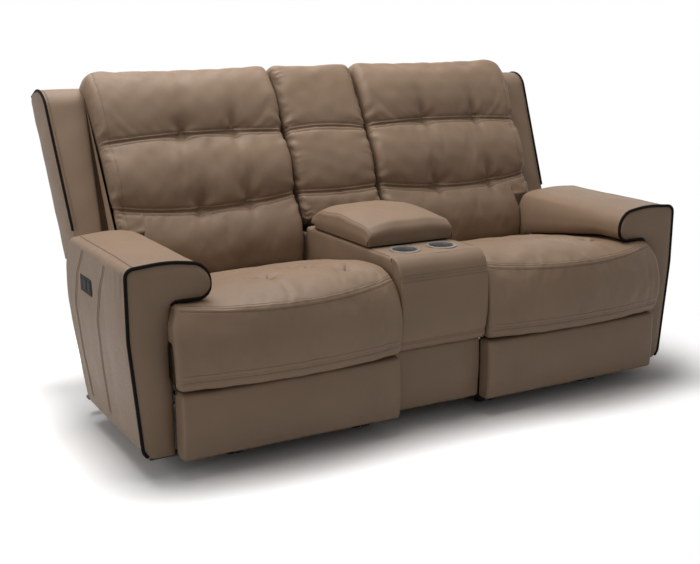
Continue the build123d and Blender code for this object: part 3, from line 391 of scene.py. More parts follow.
def crosswise(ahead, axis):
    """Two unit directions across each direction of a line, the first square to an axis, or to x where the
    line follows that axis."""
    guide = np.where(np.abs(ahead[:, axis:axis + 1]) < 0.9, np.eye(3)[axis], np.eye(3)[0])
    side = np.cross(ahead, guide)
    side /= np.linalg.norm(side, axis=1, keepdims=True)
    return side, np.cross(side, ahead)


def tube(line, radius, sides=12):
    """A round cord along a line: a ring of points about each point of it, in the plane across it."""
    ahead = np.gradient(line, axis=0)
    ahead /= np.linalg.norm(ahead, axis=1, keepdims=True)
    side, up = crosswise(ahead, 1)
    turn = np.linspace(0.0, 2 * math.pi, sides, endpoint=False)[None, :, None]
    return line[:, None] + radius * (np.cos(turn) * side[:, None] + np.sin(turn) * up[:, None])


stitch_pitch = 0.0062
stitch_half = 0.0023
stitch_radius = 0.00075
stitch_sides = 5


def stitches(rows):
    """Short spindles of thread laid end to end along each row of points, as four rings for every spindle."""
    turn = np.arange(stitch_sides)[None, :, None] * 2 * math.pi / stitch_sides
    rings = []
    for line in rows:
        places = np.arange(stitch_pitch, length_of(line), stitch_pitch)
        middle = along(line, places)
        ahead = along(line, places + 0.001) - along(line, places - 0.001)
        ahead /= np.maximum(np.linalg.norm(ahead, axis=1, keepdims=True), 1e-9)
        side, up = crosswise(ahead, 2)
        for end, swell in ((-1.0, 0.35), (-0.5, 1.0), (0.5, 1.0), (1.0, 0.35)):
            ring = (middle + ahead * (end * stitch_half))[:, None]
            turned = np.cos(turn) * side[:, None] + np.sin(turn) * up[:, None]
            rings.append(ring + swell * stitch_radius * turned)
    return rings


def sew(name, rows, body):
    """All the stitching that one body carries, as one piece: every spindle is a small closed mesh."""
    rings = stitches(rows)
    points = []
    faces = []
    count = 0
    for first in range(0, len(rings), 4):
        block = np.stack(rings[first:first + 4], 1)
        number, rows_each, sides = block.shape[:3]
        base = count + np.arange(number)[:, None] * rows_each * sides
        tips = np.arange(sides)[None]
        faces += (base[..., None] + grid_faces(rows_each, sides, 0, True)[None]).reshape(-1, 4).tolist()
        faces += (base + tips[:, ::-1]).tolist()
        faces += (base + (rows_each - 1) * sides + tips).tolist()
        points.append(block.reshape(-1, 3))
        count += number * rows_each * sides
    mesh = bpy.data.meshes.new(name)
    mesh.from_pydata(np.concatenate(points).tolist(), [], faces)
    made = set_down(name, mesh, thread)
    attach(made, body)


def ripple(u, v, wave, seed):
    """Smooth random swells about a wave length apart: waves in several directions added up, from -1 to 1."""
    rng = np.random.default_rng(seed)
    heading = rng.uniform(0.0, math.pi, 7)
    start = rng.uniform(0.0, 2 * math.pi, 7)
    pace = 2 * math.pi / wave * rng.uniform(0.7, 1.4, 7)
    total = np.zeros(np.broadcast(u, v).shape)
    for h, s, p in zip(heading, start, pace):
        total = total + np.sin(p * (u * math.cos(h) + v * math.sin(h)) + s)
    return total / 4.0


def valley(distance, width):
    """A groove's share of its depth at a distance from its middle: e to minus the square of their ratio."""
    return np.exp(-(distance / width) ** 2)


def past(value, start, width):
    """How far a value lies past a start, as a share of a width, from 0 to 1."""
    return np.clip((value - start) / width, 0, 1)


arm_front = -0.43
arm_outer_x = 0.976
arm_post_x = 0.856
pillow_tip_x = 0.738
pillow_low = 0.497
arm_top = 0.598
arm_foot = 0.06
arm_rear_edge = 0.03
arm_piping_radius = 0.0052
stitch_lift = 0.0006
side_stitch, top_stitch_x = 0.007, 0.948
panel_seam_depth, arm_seam_width = 0.0014, 0.004
top_seam_x, top_seam_depth = 0.955, 0.0025
front_swell = 0.010
seam_rear = ([0.10, 0.25, 0.40, 0.50, 0.56, 0.59], [0.002, 0.038, 0.046, 0.014, -0.04, -0.06])
seam_front = ([0.10, 0.25, 0.40, 0.50, 0.56, 0.59], [-0.163, -0.153, -0.168, -0.203, -0.25, -0.265])

outer_line = rounded_run([(0.90, arm_foot), (0.946, arm_foot), (arm_outer_x, 0.40), (arm_outer_x, arm_top),
                          (0.857, arm_top + 0.010), (pillow_tip_x, 0.590), (pillow_tip_x, 0.5355)],
                         [0.036, 0.30, 0.024, 0.40, 0.058])
inner_line = rounded_run([(0.90, arm_foot), (arm_post_x, arm_foot), (arm_post_x, pillow_low),
                          (pillow_tip_x, pillow_low), (pillow_tip_x, 0.5355)], [0.006, 0.024, 0.034])
knee_out = length_of(outer_line[:np.argmax(outer_line[:, 1] > 0.46) + 1])
turn_out = length_of(outer_line[:np.argmax((outer_line[:, 0] < 0.88) & (outer_line[:, 1] > 0.55)) + 1])
knee_in = length_of(inner_line[:np.argmax(inner_line[:, 1] > 0.46) + 1])
turn_in = length_of(inner_line[:np.argmax((inner_line[:, 0] < 0.835) & (inner_line[:, 1] > 0.45)) + 1])
band = np.linspace(0.0, 1.0, 150)
band_marks = [0, 0.5, 0.68, 1]
outer_edge = along(outer_line, np.interp(band, band_marks, [0, knee_out, turn_out, length_of(outer_line)]))
inner_edge = along(inner_line, np.interp(band, band_marks, [0, knee_in, turn_in, length_of(inner_line)]))
arm_loop = np.concatenate([outer_edge, inner_edge[::-1][1:-1]])


def outward(loop):
    """Unit normals of closed outlines, a quarter turn from the line through each point's neighbours."""
    step = np.roll(loop, -1, -2) - np.roll(loop, 1, -2)
    normal = np.stack([step[..., 1], -step[..., 0]], -1)
    return normal / np.maximum(np.linalg.norm(normal, axis=-1, keepdims=True), 1e-9)


arm_out = outward(arm_loop)
rear_y = np.interp(arm_loop[:, 1], [0.06, 0.10, 0.16, 0.33, 0.45, 0.50, 0.54, 0.57, 0.60],
                   [0.07, 0.098, 0.115, 0.147, 0.158, 0.155, 0.141, 0.118, 0.094])
edge_turn = np.linspace(0.0, math.pi / 2, 8)
wall_share = np.linspace(0.0, 1.0, 104)
wall_y = arm_front + wall_share[:, None] * (rear_y - arm_rear_edge - arm_front)[None]
turn_y = (rear_y - arm_rear_edge)[None] + arm_rear_edge * np.sin(edge_turn[1:])[:, None]
arm_y = np.concatenate([wall_y, turn_y])
arm_draw = np.concatenate([np.zeros(len(wall_share)), arm_rear_edge * (1 - np.cos(edge_turn[1:]))])


def arm(side, sign, seed):
    """An arm's cover and piping; returns its rows of stitches. The front face is a band between the outer and
    inner edges, and so is the rear face."""
    kept = np.clip((arm_loop[:, 0] - 0.74) / 0.1, 0.3, 1)
    flat = arm_loop[None] - arm_out[None] * (arm_draw[:, None] * kept[None])[..., None]
    x, z, y = flat[..., 0], flat[..., 1], arm_y
    outside = past(arm_loop[:, 0], 0.93, 0.02) * past(0.597, arm_loop[:, 1], 0.02)
    outside = outside * past(arm_loop[:, 1], 0.085, 0.02)
    from_rear_seam = y - np.interp(z, *seam_rear)
    from_front_seam = y - np.interp(z, *seam_front)
    panel_seams = valley(from_rear_seam, arm_seam_width) + valley(from_front_seam, arm_seam_width)
    depth = outside[None] * panel_seam_depth * panel_seams
    plump = outside[None] * 0.003 * np.sin(past(y, arm_front, 0.2) * math.pi)
    near_corner = np.exp(-(y - arm_front) / 0.06) * past(z, 0.48, 0.06)
    gather = outside[None] * 0.0014 * near_corner * np.sin(y * 150 + 3 * np.sin(z * 14))
    on_top = past(arm_loop[:, 1], 0.575, 0.02)
    swell = on_top[None] * 0.0015 * ripple(x, y, 0.2, seed)
    top_seam = valley(arm_loop[:, 0] - top_seam_x, arm_seam_width) * past(arm_loop[:, 1], 0.58, 0.01)
    height = plump + gather + swell - depth - top_seam_depth * top_seam[None]
    off_front = past(y, arm_front, 0.012)
    height = height * off_front + 0.0005 * ripple(y, z + x, 0.14, seed + 1)
    height = height * off_front
    x = x + arm_out[None, :, 0] * height
    z = z + arm_out[None, :, 1] * height
    lowered = np.interp(y, [-0.31, -0.2, -0.1, 0.0, 0.07, 0.12], [0.0, 0.018, 0.034, 0.051, 0.062, 0.10])
    inner = past(0.90, arm_loop[:, 0], 0.02)
    share = np.interp(arm_loop[:, 1], [0.30, pillow_low, 0.51, 0.575], [0.0, 1.0, 1.0, 0.0]) * inner
    z = z - lowered * share[None]
    wall = np.stack([sign * x, y, z], -1)
    over = np.linspace(0.0, 1.0, 17)[None, :, None]
    face = inner_edge[:, None] * (1 - over) + outer_edge[:, None] * over
    rim = 1 - np.abs(2 * over[..., 0] - 1) ** 3
    swell = front_swell * rim * past(1, band, 0.07)[:, None] ** 0.6 * past(band, 0.0, 0.1)[:, None]
    front = np.stack([sign * face[..., 0], arm_front - swell, face[..., 1]], -1)
    last = wall[-1]
    count = len(band)
    rear_outer = last[:count]
    rear_inner = np.concatenate([last[:1], last[count:][::-1], last[count - 1:count]])
    rear = rear_inner[:, None] * (1 - over) + rear_outer[:, None] * over
    piece(f"{side}_arm_cover_leather", [(wall, True), (front, False), (rear, False)], taupe_leather, "base",
          [f"{side}_arm_cover"])
    start = int(np.argmax(outer_edge[:, 1] > 0.066))
    edge = np.concatenate([outer_edge[start:], inner_edge[::-1][1:]])
    edge = edge[: int(np.argmax((np.arange(len(edge)) > 140) & (edge[:, 0] > arm_post_x - 0.004)))]
    cord = np.stack([sign * edge[:, 0], np.full(len(edge), arm_front - 0.0005), edge[:, 1]], -1)
    piece(f"{side}_arm_piping_cord", [(tube(evenly(cord, 260), arm_piping_radius), True)], black_leather,
          "base", [f"{side}_arm_piping"], caps=(0,))
    heights = np.linspace(0.11, 0.578, 90)
    not_outside = 9 * (arm_loop[:count, 0] < 0.93)
    columns = [int(np.argmin(np.abs(arm_loop[:count, 1] - h) + not_outside)) for h in heights]
    rows = []
    for seam in (seam_rear, seam_front):
        for shift in (-side_stitch, side_stitch):
            place = np.interp(heights, *seam) + shift
            out = np.array([np.interp(p, y[:, c], sign * wall[:, c, 0]) for p, c in zip(place, columns)])
            rows.append(np.stack([sign * (out + stitch_lift), place, heights], -1))
    run = np.linspace(arm_front + 0.012, 0.065, 80)
    not_top = 9 * (arm_loop[:count, 1] < 0.58)
    crest = int(np.argmin(np.abs(arm_loop[:count, 0] - top_stitch_x) + not_top))
    top = np.interp(run, y[:, crest], wall[:, crest, 2])
    rows.append(np.stack([np.full(len(run), sign * top_stitch_x), run, top + stitch_lift], -1))
    return rows


base_rows = []
for side, sign, seed in (("left", -1.0, 3), ("right", 1.0, 9)):
    base_rows += arm(side, sign, seed)

# Switch plates: a grey moulded bezel let into each arm's outer face, with two dark rockers on trunnions.
# One tips the back, the other swings the footrest.
switch_plastic = finish("switch_plastic", (0.02, 0.018, 0.017), (0.034, 0.031, 0.029), 0.6, 1400.0,
                        bump=0.2, shine=0.06)
rocker_plastic = finish("rocker_plastic", (0.006, 0.006, 0.006), (0.012, 0.012, 0.012), 0.5, 1400.0,
                        bump=0.15, shine=0.08)
dress(switch_plastic, *pair("switch_plate"))
dress(rocker_plastic, *pair("recline_rocker", "footrest_rocker"))


# Seats: a sprung foam cushion with a bow front. The top and front are sewn together along the front edge,
# a second double-stitched seam runs along the rolled lip, and tacks pull short creases into the top.
def spread(count, ends):
    """Shares of an edge from 0 up to 1, closer together towards both ends."""
    share = np.arange(count) / count
    return share - ends / (2 * math.pi) * np.sin(2 * math.pi * share)


def per_station(level, *values):
    """Numbers, or rows of numbers over the stations, side by side at every station."""
    return np.stack([level + value for value in values], -1)


def corner_rows(level, *corners):
    """Corners at every station, each given as two numbers or rows of numbers."""
    return np.stack([per_station(level, *corner) for corner in corners], 1)


def swept_outline(corners, bulges, counts, ends):
    """Closed outlines at each station: straight edges between corners, each swollen outwards as a parabola.
    Also gives the number of the point at each corner."""
    runs = []
    for k, count in enumerate(counts):
        p = corners[:, k, None]
        step = corners[:, (k + 1) % len(counts), None] - p
        size = np.maximum(np.linalg.norm(step, axis=-1, keepdims=True), 1e-9)
        out = np.stack([step[..., 1], -step[..., 0]], -1) / size
        s = spread(count, ends)[None, :, None]
        runs.append(p + step * s + out * (4 * bulges[:, k, None, None] * s * (1 - s)))
    return np.concatenate(runs, axis=1), np.concatenate([[0], np.cumsum(counts)])


def inset(loop, draw):
    """Outlines moved inwards by how far each station draws in."""
    return loop - outward(loop) * draw[:, None, None]


def run_length(loop):
    """How far round each closed outline every point lies."""
    step = np.linalg.norm(np.roll(loop, -1, 1) - loop, axis=-1)
    return np.cumsum(step, axis=1) - step, step.sum(axis=1, keepdims=True)


def from_point(loop, index):
    """Signed distance round the outline from one of its points."""
    place, total = run_length(loop)
    away = place - place[:, index:index + 1]
    return (away + total / 2) % total - total / 2


def soften(loop, index, reach, passes):
    """Rounds a corner: points within reach of it are drawn to their neighbours' middle, many times over."""
    weight = 0.5 * np.clip(1 - np.abs(from_point(loop, index)) / reach, 0, 1)[..., None]
    for _ in range(passes):
        loop = loop + weight * ((np.roll(loop, 1, 1) + np.roll(loop, -1, 1)) / 2 - loop)
    return loop


def stations(start, end, radius, count):
    """Places along a width and how far the outline draws in there, on a quarter round at both ends."""
    turn = np.linspace(0.0, math.pi / 2, 8)
    rise = radius * (1 - np.sin(turn))
    draw = radius * (1 - np.cos(turn))
    middle = np.linspace(start + radius, end - radius, count + 2)[1:-1]
    return (np.concatenate([start + rise[::-1], middle, end - rise]),
            np.concatenate([draw[::-1], np.zeros(count), draw]))


def outward_surface(grid):
    """Unit normals of a grid that is wrapped round its outlines."""
    round_step = np.roll(grid, -1, 1) - np.roll(grid, 1, 1)
    normal = np.cross(round_step, np.gradient(grid, axis=0))
    return normal / np.maximum(np.linalg.norm(normal, axis=-1, keepdims=True), 1e-9)


swell_frames = 20


def inflate(grid, held, pressure, spare, cap):
    """Fills a closed cushion: a cloth with some spare leather swells under pressure between its held points.
    It returns how far each point moved, no more than the cap."""
    rows, columns = grid.shape[:2]
    mesh = bpy.data.meshes.new("filling")
    faces = grid_faces(rows, columns, 0, True).tolist()
    faces.append(list(range(columns))[::-1])
    faces.append(list(range((rows - 1) * columns, rows * columns)))
    mesh.from_pydata(grid.reshape(-1, 3).tolist(), [], faces)
    body = bpy.data.objects.new("filling", mesh)
    scene.collection.objects.link(body)
    group = body.vertex_groups.new(name="held")
    group.add(np.flatnonzero(held.reshape(-1) > 0.5).tolist(), 1.0, "REPLACE")
    cloth = body.modifiers.new("swell", "CLOTH")
    cloth.settings.quality = 4
    cloth.settings.mass = 0.4
    cloth.settings.tension_stiffness = 22.0
    cloth.settings.compression_stiffness = 14.0
    cloth.settings.shear_stiffness = 8.0
    cloth.settings.bending_stiffness = 0.6
    cloth.settings.tension_damping = 12.0
    cloth.settings.compression_damping = 12.0
    cloth.settings.air_damping = 4.0
    cloth.settings.vertex_group_mass = "held"
    cloth.settings.pin_stiffness = 1.0
    cloth.settings.use_pressure = True
    cloth.settings.uniform_pressure_force = pressure
    cloth.settings.shrink_min = -spare
    cloth.settings.effector_weights.gravity = 0.0
    cloth.collision_settings.use_collision = False
    cloth.point_cache.frame_start = 1
    cloth.point_cache.frame_end = swell_frames
    for number in range(1, swell_frames + 1):
        scene.frame_set(number)
    solved = body.evaluated_get(bpy.context.evaluated_depsgraph_get()).data
    places = np.zeros(rows * columns * 3)
    solved.vertices.foreach_get("co", places)
    scene.frame_set(1)
    bpy.data.objects.remove(body)
    moved = places.reshape(rows, columns, 3) - grid
    size = np.maximum(np.linalg.norm(moved, axis=-1, keepdims=True), 1e-9)
    return moved * np.minimum(1.0, cap * np.tanh(size / cap) / size)


def carry(moved, from_rows, to_rows, from_round, to_round):
    """Brings a coarse grid's moves onto a fine one: straight between rows and round each outline, then evened
    out."""
    wrapped = np.concatenate([from_round, [1.0]])
    closed = np.concatenate([moved, moved[:, :1]], axis=1)
    left = np.clip(np.searchsorted(wrapped, to_round, side="right") - 1, 0, len(wrapped) - 2)
    share = ((to_round - wrapped[left]) / (wrapped[left + 1] - wrapped[left]))[None, :, None]
    fine = closed[:, left] * (1 - share) + closed[:, left + 1] * share
    low = np.clip(np.searchsorted(from_rows, to_rows, side="right") - 1, 0, len(from_rows) - 2)
    part = ((to_rows - from_rows[low]) / (from_rows[low + 1] - from_rows[low]))[:, None, None]
    fine = fine[low] * (1 - part) + fine[low + 1] * part
    for _ in range(3):
        fine = (2 * fine + np.roll(fine, 1, 1) + np.roll(fine, -1, 1)) / 4
        fine[1:-1] = (2 * fine[1:-1] + fine[:-2] + fine[2:]) / 4
    return fine


seat_from, seat_to = 0.166, 0.851
seat_middle = (seat_from + seat_to) / 2
seat_half = (seat_to - seat_from) / 2
seat_round = 0.011
seat_low, seat_under = 0.256, 0.381
seat_heel, seat_rear = -0.456, 0.078
top_stitch, lip_stitch = 0.011, 0.010
seam_depth, seam_width = 0.0016, 0.0035
groove_depth, groove_width = 0.0008, 0.003
tack_depth, tack_reach = 0.014, 0.032
pull_height, crease_depth, short_crease_depth = 0.0034, 0.009, 0.004
tacks = {"left": [(0.527, -0.339, 0.9), (0.387, -0.202, 0.5), (0.355, -0.266, 1.0), (0.282, -0.381, 0.8)],
         "right": [(0.463, -0.212, 0.7), (0.585, -0.225, 1.0), (0.61, -0.28, 0.9), (0.66, -0.375, 0.8)]}


def seat_outline(x, draw, counts):
    """The seat's side view at each place across it, from the lip's underside round the back to the front. The
    top rises to a crest behind the front seam, highest beside the console and low under the arm's pillow."""
    t = (x - seat_middle) / seat_half
    seam = -0.533 + 0.082 * t * t
    belly = -0.536 + 0.038 * t * t
    crest = np.interp(t, [-1.0, -0.9, -0.5, 0.0, 0.3, 0.66, 1.0],
                      [0.020, 0.025, 0.031, 0.028, 0.018, 0.001, -0.002])
    level = np.zeros_like(t)
    corners = corner_rows(level, (belly + 0.026, seat_low), (seat_heel, seat_low), (seat_heel, seat_under),
                          (seat_rear, seat_under), (seat_rear, 0.428), (seam + 0.16, 0.487 + crest),
                          (seam, 0.488 - 0.013 * (1 - t * t)), (belly, 0.284))
    bulges = per_station(level, 0.0, 0.0, 0.0, 0.006, 0.005, 0.005 + 0.3 * np.maximum(crest, 0),
                         0.009 + 0.018 * t * t, 0.009)
    loop, marks = swept_outline(corners, bulges, counts, 0.6)
    loop = soften(loop, marks[6], 0.026, max(counts) // 3)
    loop = soften(loop, marks[5], 0.05, max(counts))
    loop = soften(loop, marks[4], 0.03, 20)
    return inset(loop, draw), marks


def across(x, loop):
    """Outlines at each place across the width, as points."""
    return np.concatenate([np.broadcast_to(x[:, None, None], loop.shape[:2] + (1,)), loop], -1)


def round_share(loop):
    """The middle station's points as shares of the way round."""
    place, total = run_length(loop)
    middle = len(loop) // 2
    return place[middle] / total[middle]


coarse_x, coarse_draw = stations(seat_from, seat_to, seat_round, 56)
coarse_loop, coarse_marks = seat_outline(coarse_x, coarse_draw, (6, 6, 30, 6, 40, 13, 20, 6))
coarse_grid = across(coarse_x, coarse_loop)
seat_held = np.ones(coarse_grid.shape[:2])
seat_held[9:-9, coarse_marks[4] + 2:coarse_marks[7]] = 0.0
seat_held[:, coarse_marks[6]] = 1.0
for spot_x, spot_y, _ in tacks["left"]:
    away = np.hypot(coarse_grid[..., 0] - spot_x, coarse_grid[..., 1] - spot_y)
    seat_held[(away < 0.011) & (coarse_grid[..., 2] > 0.44)] = 1.0
under_arm = past(coarse_grid[..., 0], 0.66, 0.06) * (coarse_grid[..., 2] > 0.42)
seat_moved = inflate(coarse_grid, seat_held, 3.0, 0.008, 0.010) * (1 - under_arm[..., None])
fine_x, fine_draw = stations(seat_from, seat_to, seat_round, 190)
fine_loop, fine_marks = seat_outline(fine_x, fine_draw, (10, 10, 24, 10, 130, 40, 54, 16))
seat_moved = carry(seat_moved, coarse_x, fine_x, round_share(coarse_loop), round_share(fine_loop))


def beside(distance, offset, width):
    """Two grooves, one at an offset on each side of a line."""
    return valley(distance - offset, width) + valley(distance + offset, width)


def seam_rows(grid, normal, sign, seams, lift, ends, count):
    """Rows of stitches on a wrapped grid: at each station, the point that lies nearest to a shift past a
    seam."""
    rows = []
    pick = np.arange(len(grid))
    for seam, shift in seams:
        column = np.argmin(np.abs(seam - shift), axis=1)
        line = grid[pick, column] + lift * normal[pick, column] * (sign, 1.0, 1.0)
        rows.append(evenly(line[ends:-ends], count))
    return rows


def seat(side, sign, seed):
    """A seat cushion with its seams, tacks and stitching."""
    grid = across(fine_x, fine_loop) + seat_moved
    normal = outward_surface(grid)
    top_seam = from_point(fine_loop, fine_marks[6])
    lip_seam = from_point(fine_loop, fine_marks[7]) + 0.012
    upper = past(grid[..., 2], 0.43, 0.02) * (normal[..., 2] > 0.2)
    sewn = ((top_seam, top_stitch), (lip_seam, lip_stitch))
    height = np.zeros(grid.shape[:2])
    for seam, stitch in sewn:
        height -= seam_depth * valley(seam, seam_width)
        height -= groove_depth * beside(seam, stitch, groove_width)
    for spot_x, spot_y, depth in tacks[side]:
        dx = grid[..., 0] - spot_x
        dy = grid[..., 1] - spot_y
        away = np.hypot(dx, dy)
        angle = np.arctan2(dy, dx)
        height -= upper * depth * tack_depth * np.exp(-(away / tack_reach) ** 1.3)
        pulled = valley(away - 0.028, 0.035)
        height += upper * depth * pull_height * pulled * np.cos(4 * angle + spot_x * 90)
        crease = valley(dx + 0.3 * dy + 5 * dy * dy, 0.0045) * valley(dy + 0.006, 0.026)
        height -= upper * depth * crease_depth * crease
        short = valley(dy - 0.25 * dx, 0.004) * valley(dx - 0.01, 0.02)
        height -= upper * depth * short_crease_depth * short
    height += 0.0016 * upper * ripple(grid[..., 0], grid[..., 1], 0.18, seed)
    height += 0.0012 * ripple(grid[..., 0], grid[..., 1] + grid[..., 2], 0.11, seed + 1)
    grid = grid + normal * height[..., None]
    ahead = past(-0.447, grid[..., 1], 0.018) * past(grid[..., 2], 0.25, 0.03)
    ahead = ahead * past(0.486, grid[..., 2], 0.05)
    grid[..., 0] += ahead * (0.017 * past(grid[..., 0], 0.79, 0.06) ** 2
                             - 0.0075 * past(0.20, grid[..., 0], 0.03) ** 2)
    grid[..., 0] *= sign
    piece(f"{side}_seat_leather", [(grid, True)], taupe_leather, f"{side}_seat",
          [f"{side}_seat_cushion"], caps=(0,))
    seams = [(seam, shift) for seam, stitch in sewn for shift in (-stitch, stitch)]
    sew(f"{side}_seat_stitching", seam_rows(grid, normal, sign, seams, 0.0004, 7, 120), f"{side}_seat")


for side, sign, seed in (("left", -1.0, 21), ("right", 1.0, 33)):
    seat(side, sign, seed)

# Footrests: a flat foam panel under leather, drawn in at its edges and fixed to a steel pan under each
# seat's lip. The pan hangs on links that swing it out in front of the seat.
def upholster(name, grid, normal, height, sign, body, stands_for):
    """Raises a wrapped grid by its height along its normals, mirrors it by its sign and covers it in leather.
    Returns the raised grid."""
    grid = grid + normal * height[..., None]
    grid[..., 0] *= sign
    piece(name, [(grid, True)], taupe_leather, body, stands_for, caps=(0,))
    return grid


def padded_panel(name, x_from, x_to, low, high, back, front, bulge, radius, body, stands_for, seed, sign=1.0):
    """A padded panel that faces the front: a flat back, soft edges and a crowned face with slow swells."""
    x, draw = stations(x_from, x_to, radius, 70)
    t = (x - (x_from + x_to) / 2) / ((x_to - x_from) / 2)
    level = np.zeros_like(t)
    corners = corner_rows(level, (front, low), (back, low), (back, high), (front, high))
    bulges = per_station(level, 0.001, 0.0, 0.001, bulge * (1 - 0.5 * t * t))
    loop, marks = swept_outline(corners, bulges, (16, 30, 16, 50), 0.6)
    loop = soften(loop, 0, 0.026, 60)
    loop = soften(loop, marks[3], 0.026, 60)
    grid = across(x, inset(loop, draw))
    normal = outward_surface(grid)
    facing = np.clip(-normal[..., 1], 0, 1)
    height = facing * 0.0016 * ripple(grid[..., 0], grid[..., 2], 0.15, seed)
    upholster(name, grid, normal, height, sign, body, stands_for)


foot_round = 0.011
for side, sign, seed in (("left", -1.0, 41), ("right", 1.0, 43)):
    padded_panel(f"{side}_footrest_leather", x_from=0.161, x_to=0.8545, low=0.0565, high=0.2505, back=-0.4412,
                 front=-0.496, bulge=0.011, radius=foot_round, body=f"{side}_footrest",
                 stands_for=[f"{side}_footrest_cushion"], seed=seed, sign=sign)

# Backs: three foam channels under one cover, sewn through along two double seams and tacked twice on each,
# with a boxing strip gathered down the outer side. Each back turns on its brackets behind the seat.
lean = math.radians(23.0)
pivot_y, pivot_z = 0.200, 0.420
back_from, back_to = 0.167, 0.842
back_plane = 0.116
notch_x = 0.735
heel_b = 0.045
upper_seam_a, lower_seam_a = 0.414, 0.199
top_rear_a, top_front_a = 0.621, 0.668


def leaning(b, a):
    """Turns a place in the leaning frame, b forward and a up the back, into (y, z)."""
    return np.stack([pivot_y + a * math.sin(lean) - b * math.cos(lean),
                     pivot_z + a * math.cos(lean) + b * math.sin(lean)], -1)


def back_outline(x, draw, counts, middle, half, lowest, bulge, droop, corner, notched):
    """A back's side view at each place across it: heel, rear, top, and three swollen panels."""
    t = (x - middle) / half
    flat = 1 - t * t
    level = np.zeros_like(t)
    low = level + lowest
    upper = level + upper_seam_a + 0.012 * flat - 0.005 * t
    outer_turn = np.clip(1 - half * (1 - t) / 0.085, 0, 1)
    inner_turn = np.clip(1 - half * (1 + t) / 0.05, 0, 1)
    fall = corner * (1 - np.sqrt(1 - outer_turn ** 2)) + 0.3 * corner * (1 - np.sqrt(1 - inner_turn ** 2))
    lower = level + lower_seam_a - droop * flat
    plane = level + back_plane
    rear = level - heel_b
    stepped = low > 0
    corners = np.stack([
        leaning(plane + np.where(stepped, 0.014, -0.027) * notched, low),
        leaning(level + heel_b - 0.010 * stepped, low - 0.047 * stepped * notched),
        leaning(level + heel_b, np.maximum(level + 0.05, low)),
        leaning(rear, np.maximum(level + 0.11, low)),
        leaning(rear, level + top_rear_a - fall),
        leaning(plane - 0.032, level + top_front_a - fall),
        leaning(plane, upper),
        leaning(plane, lower),
    ], 1)
    short = np.where(stepped, 0.16, 1.0) if notched else np.clip((lower - low) / 0.2, 0.1, 1)
    bulges = per_station(level, 0.0, 0.0, 0.0, 0.0, 0.022, bulge - 0.004, bulge, bulge * short)
    loop, marks = swept_outline(corners, bulges, counts, 0.55)
    loop = soften(loop, marks[5], 0.045, counts[5])
    loop = soften(loop, marks[4], 0.04, 30)
    loop = soften(loop, 0, 0.04, 30)
    return inset(loop, draw), marks


def notch(x):
    """The back's lower edge: it steps up where the arm's pillow stands beside it."""
    return np.where(x > notch_x, 0.113, -0.036)


back_round = 0.028
back_middle = (back_from + back_to) / 2
back_half = (back_to - back_from) / 2
back_tacks = {"left": ((0.46, 0.73), (0.49, 0.74)), "right": ((0.36, 0.69), (0.35, 0.70))}


channel_stitch = 0.012
channel_depth, channel_width = 0.0026, 0.004
trough_depth, trough_width = 0.002, 0.016
dimple_depth, dimple_reach = 0.012, 0.034
fold_depth, fan_height = 0.009, 0.003


def back_fill(x_from, x_to, radius, lowest_at, bulge, droop, corner, notched, coarse, pressure, cap):
    """A back's fine outlines, and how its filling swells them between the seams, found on coarse outlines."""
    middle = (x_from + x_to) / 2
    half = (x_to - x_from) / 2
    shapes = []
    for places, counts in ((coarse, (5, 5, 6, 46, 12, 22, 20, 20)),
                           (coarse * 2, (12, 8, 10, 60, 30, 74, 66, 66))):
        x, draw = stations(x_from, x_to, radius, places)
        loop, marks = back_outline(x, draw, counts, middle, half, lowest_at(x), bulge, droop, corner, notched)
        shapes.append((x, loop, marks))
    (cx, cloop, cmarks), (fx, floop, fmarks) = shapes
    grid = across(cx, cloop)
    held = np.ones(grid.shape[:2])
    held[2:-2, cmarks[4] + 4:] = 0.0
    held[:, cmarks[6]] = 1.0
    held[:, cmarks[7]] = 1.0
    held[:, -4:] = 1.0
    moved = inflate(grid, held, pressure, 0.010, cap)
    return fx, floop, fmarks, carry(moved, cx, fx, round_share(cloop), round_share(floop))


back_x, back_loop, back_marks, back_moved = back_fill(
    back_from, back_to, back_round, notch, bulge=0.028, droop=0.028, corner=0.05, notched=True, coarse=58,
    pressure=3.5, cap=0.011)


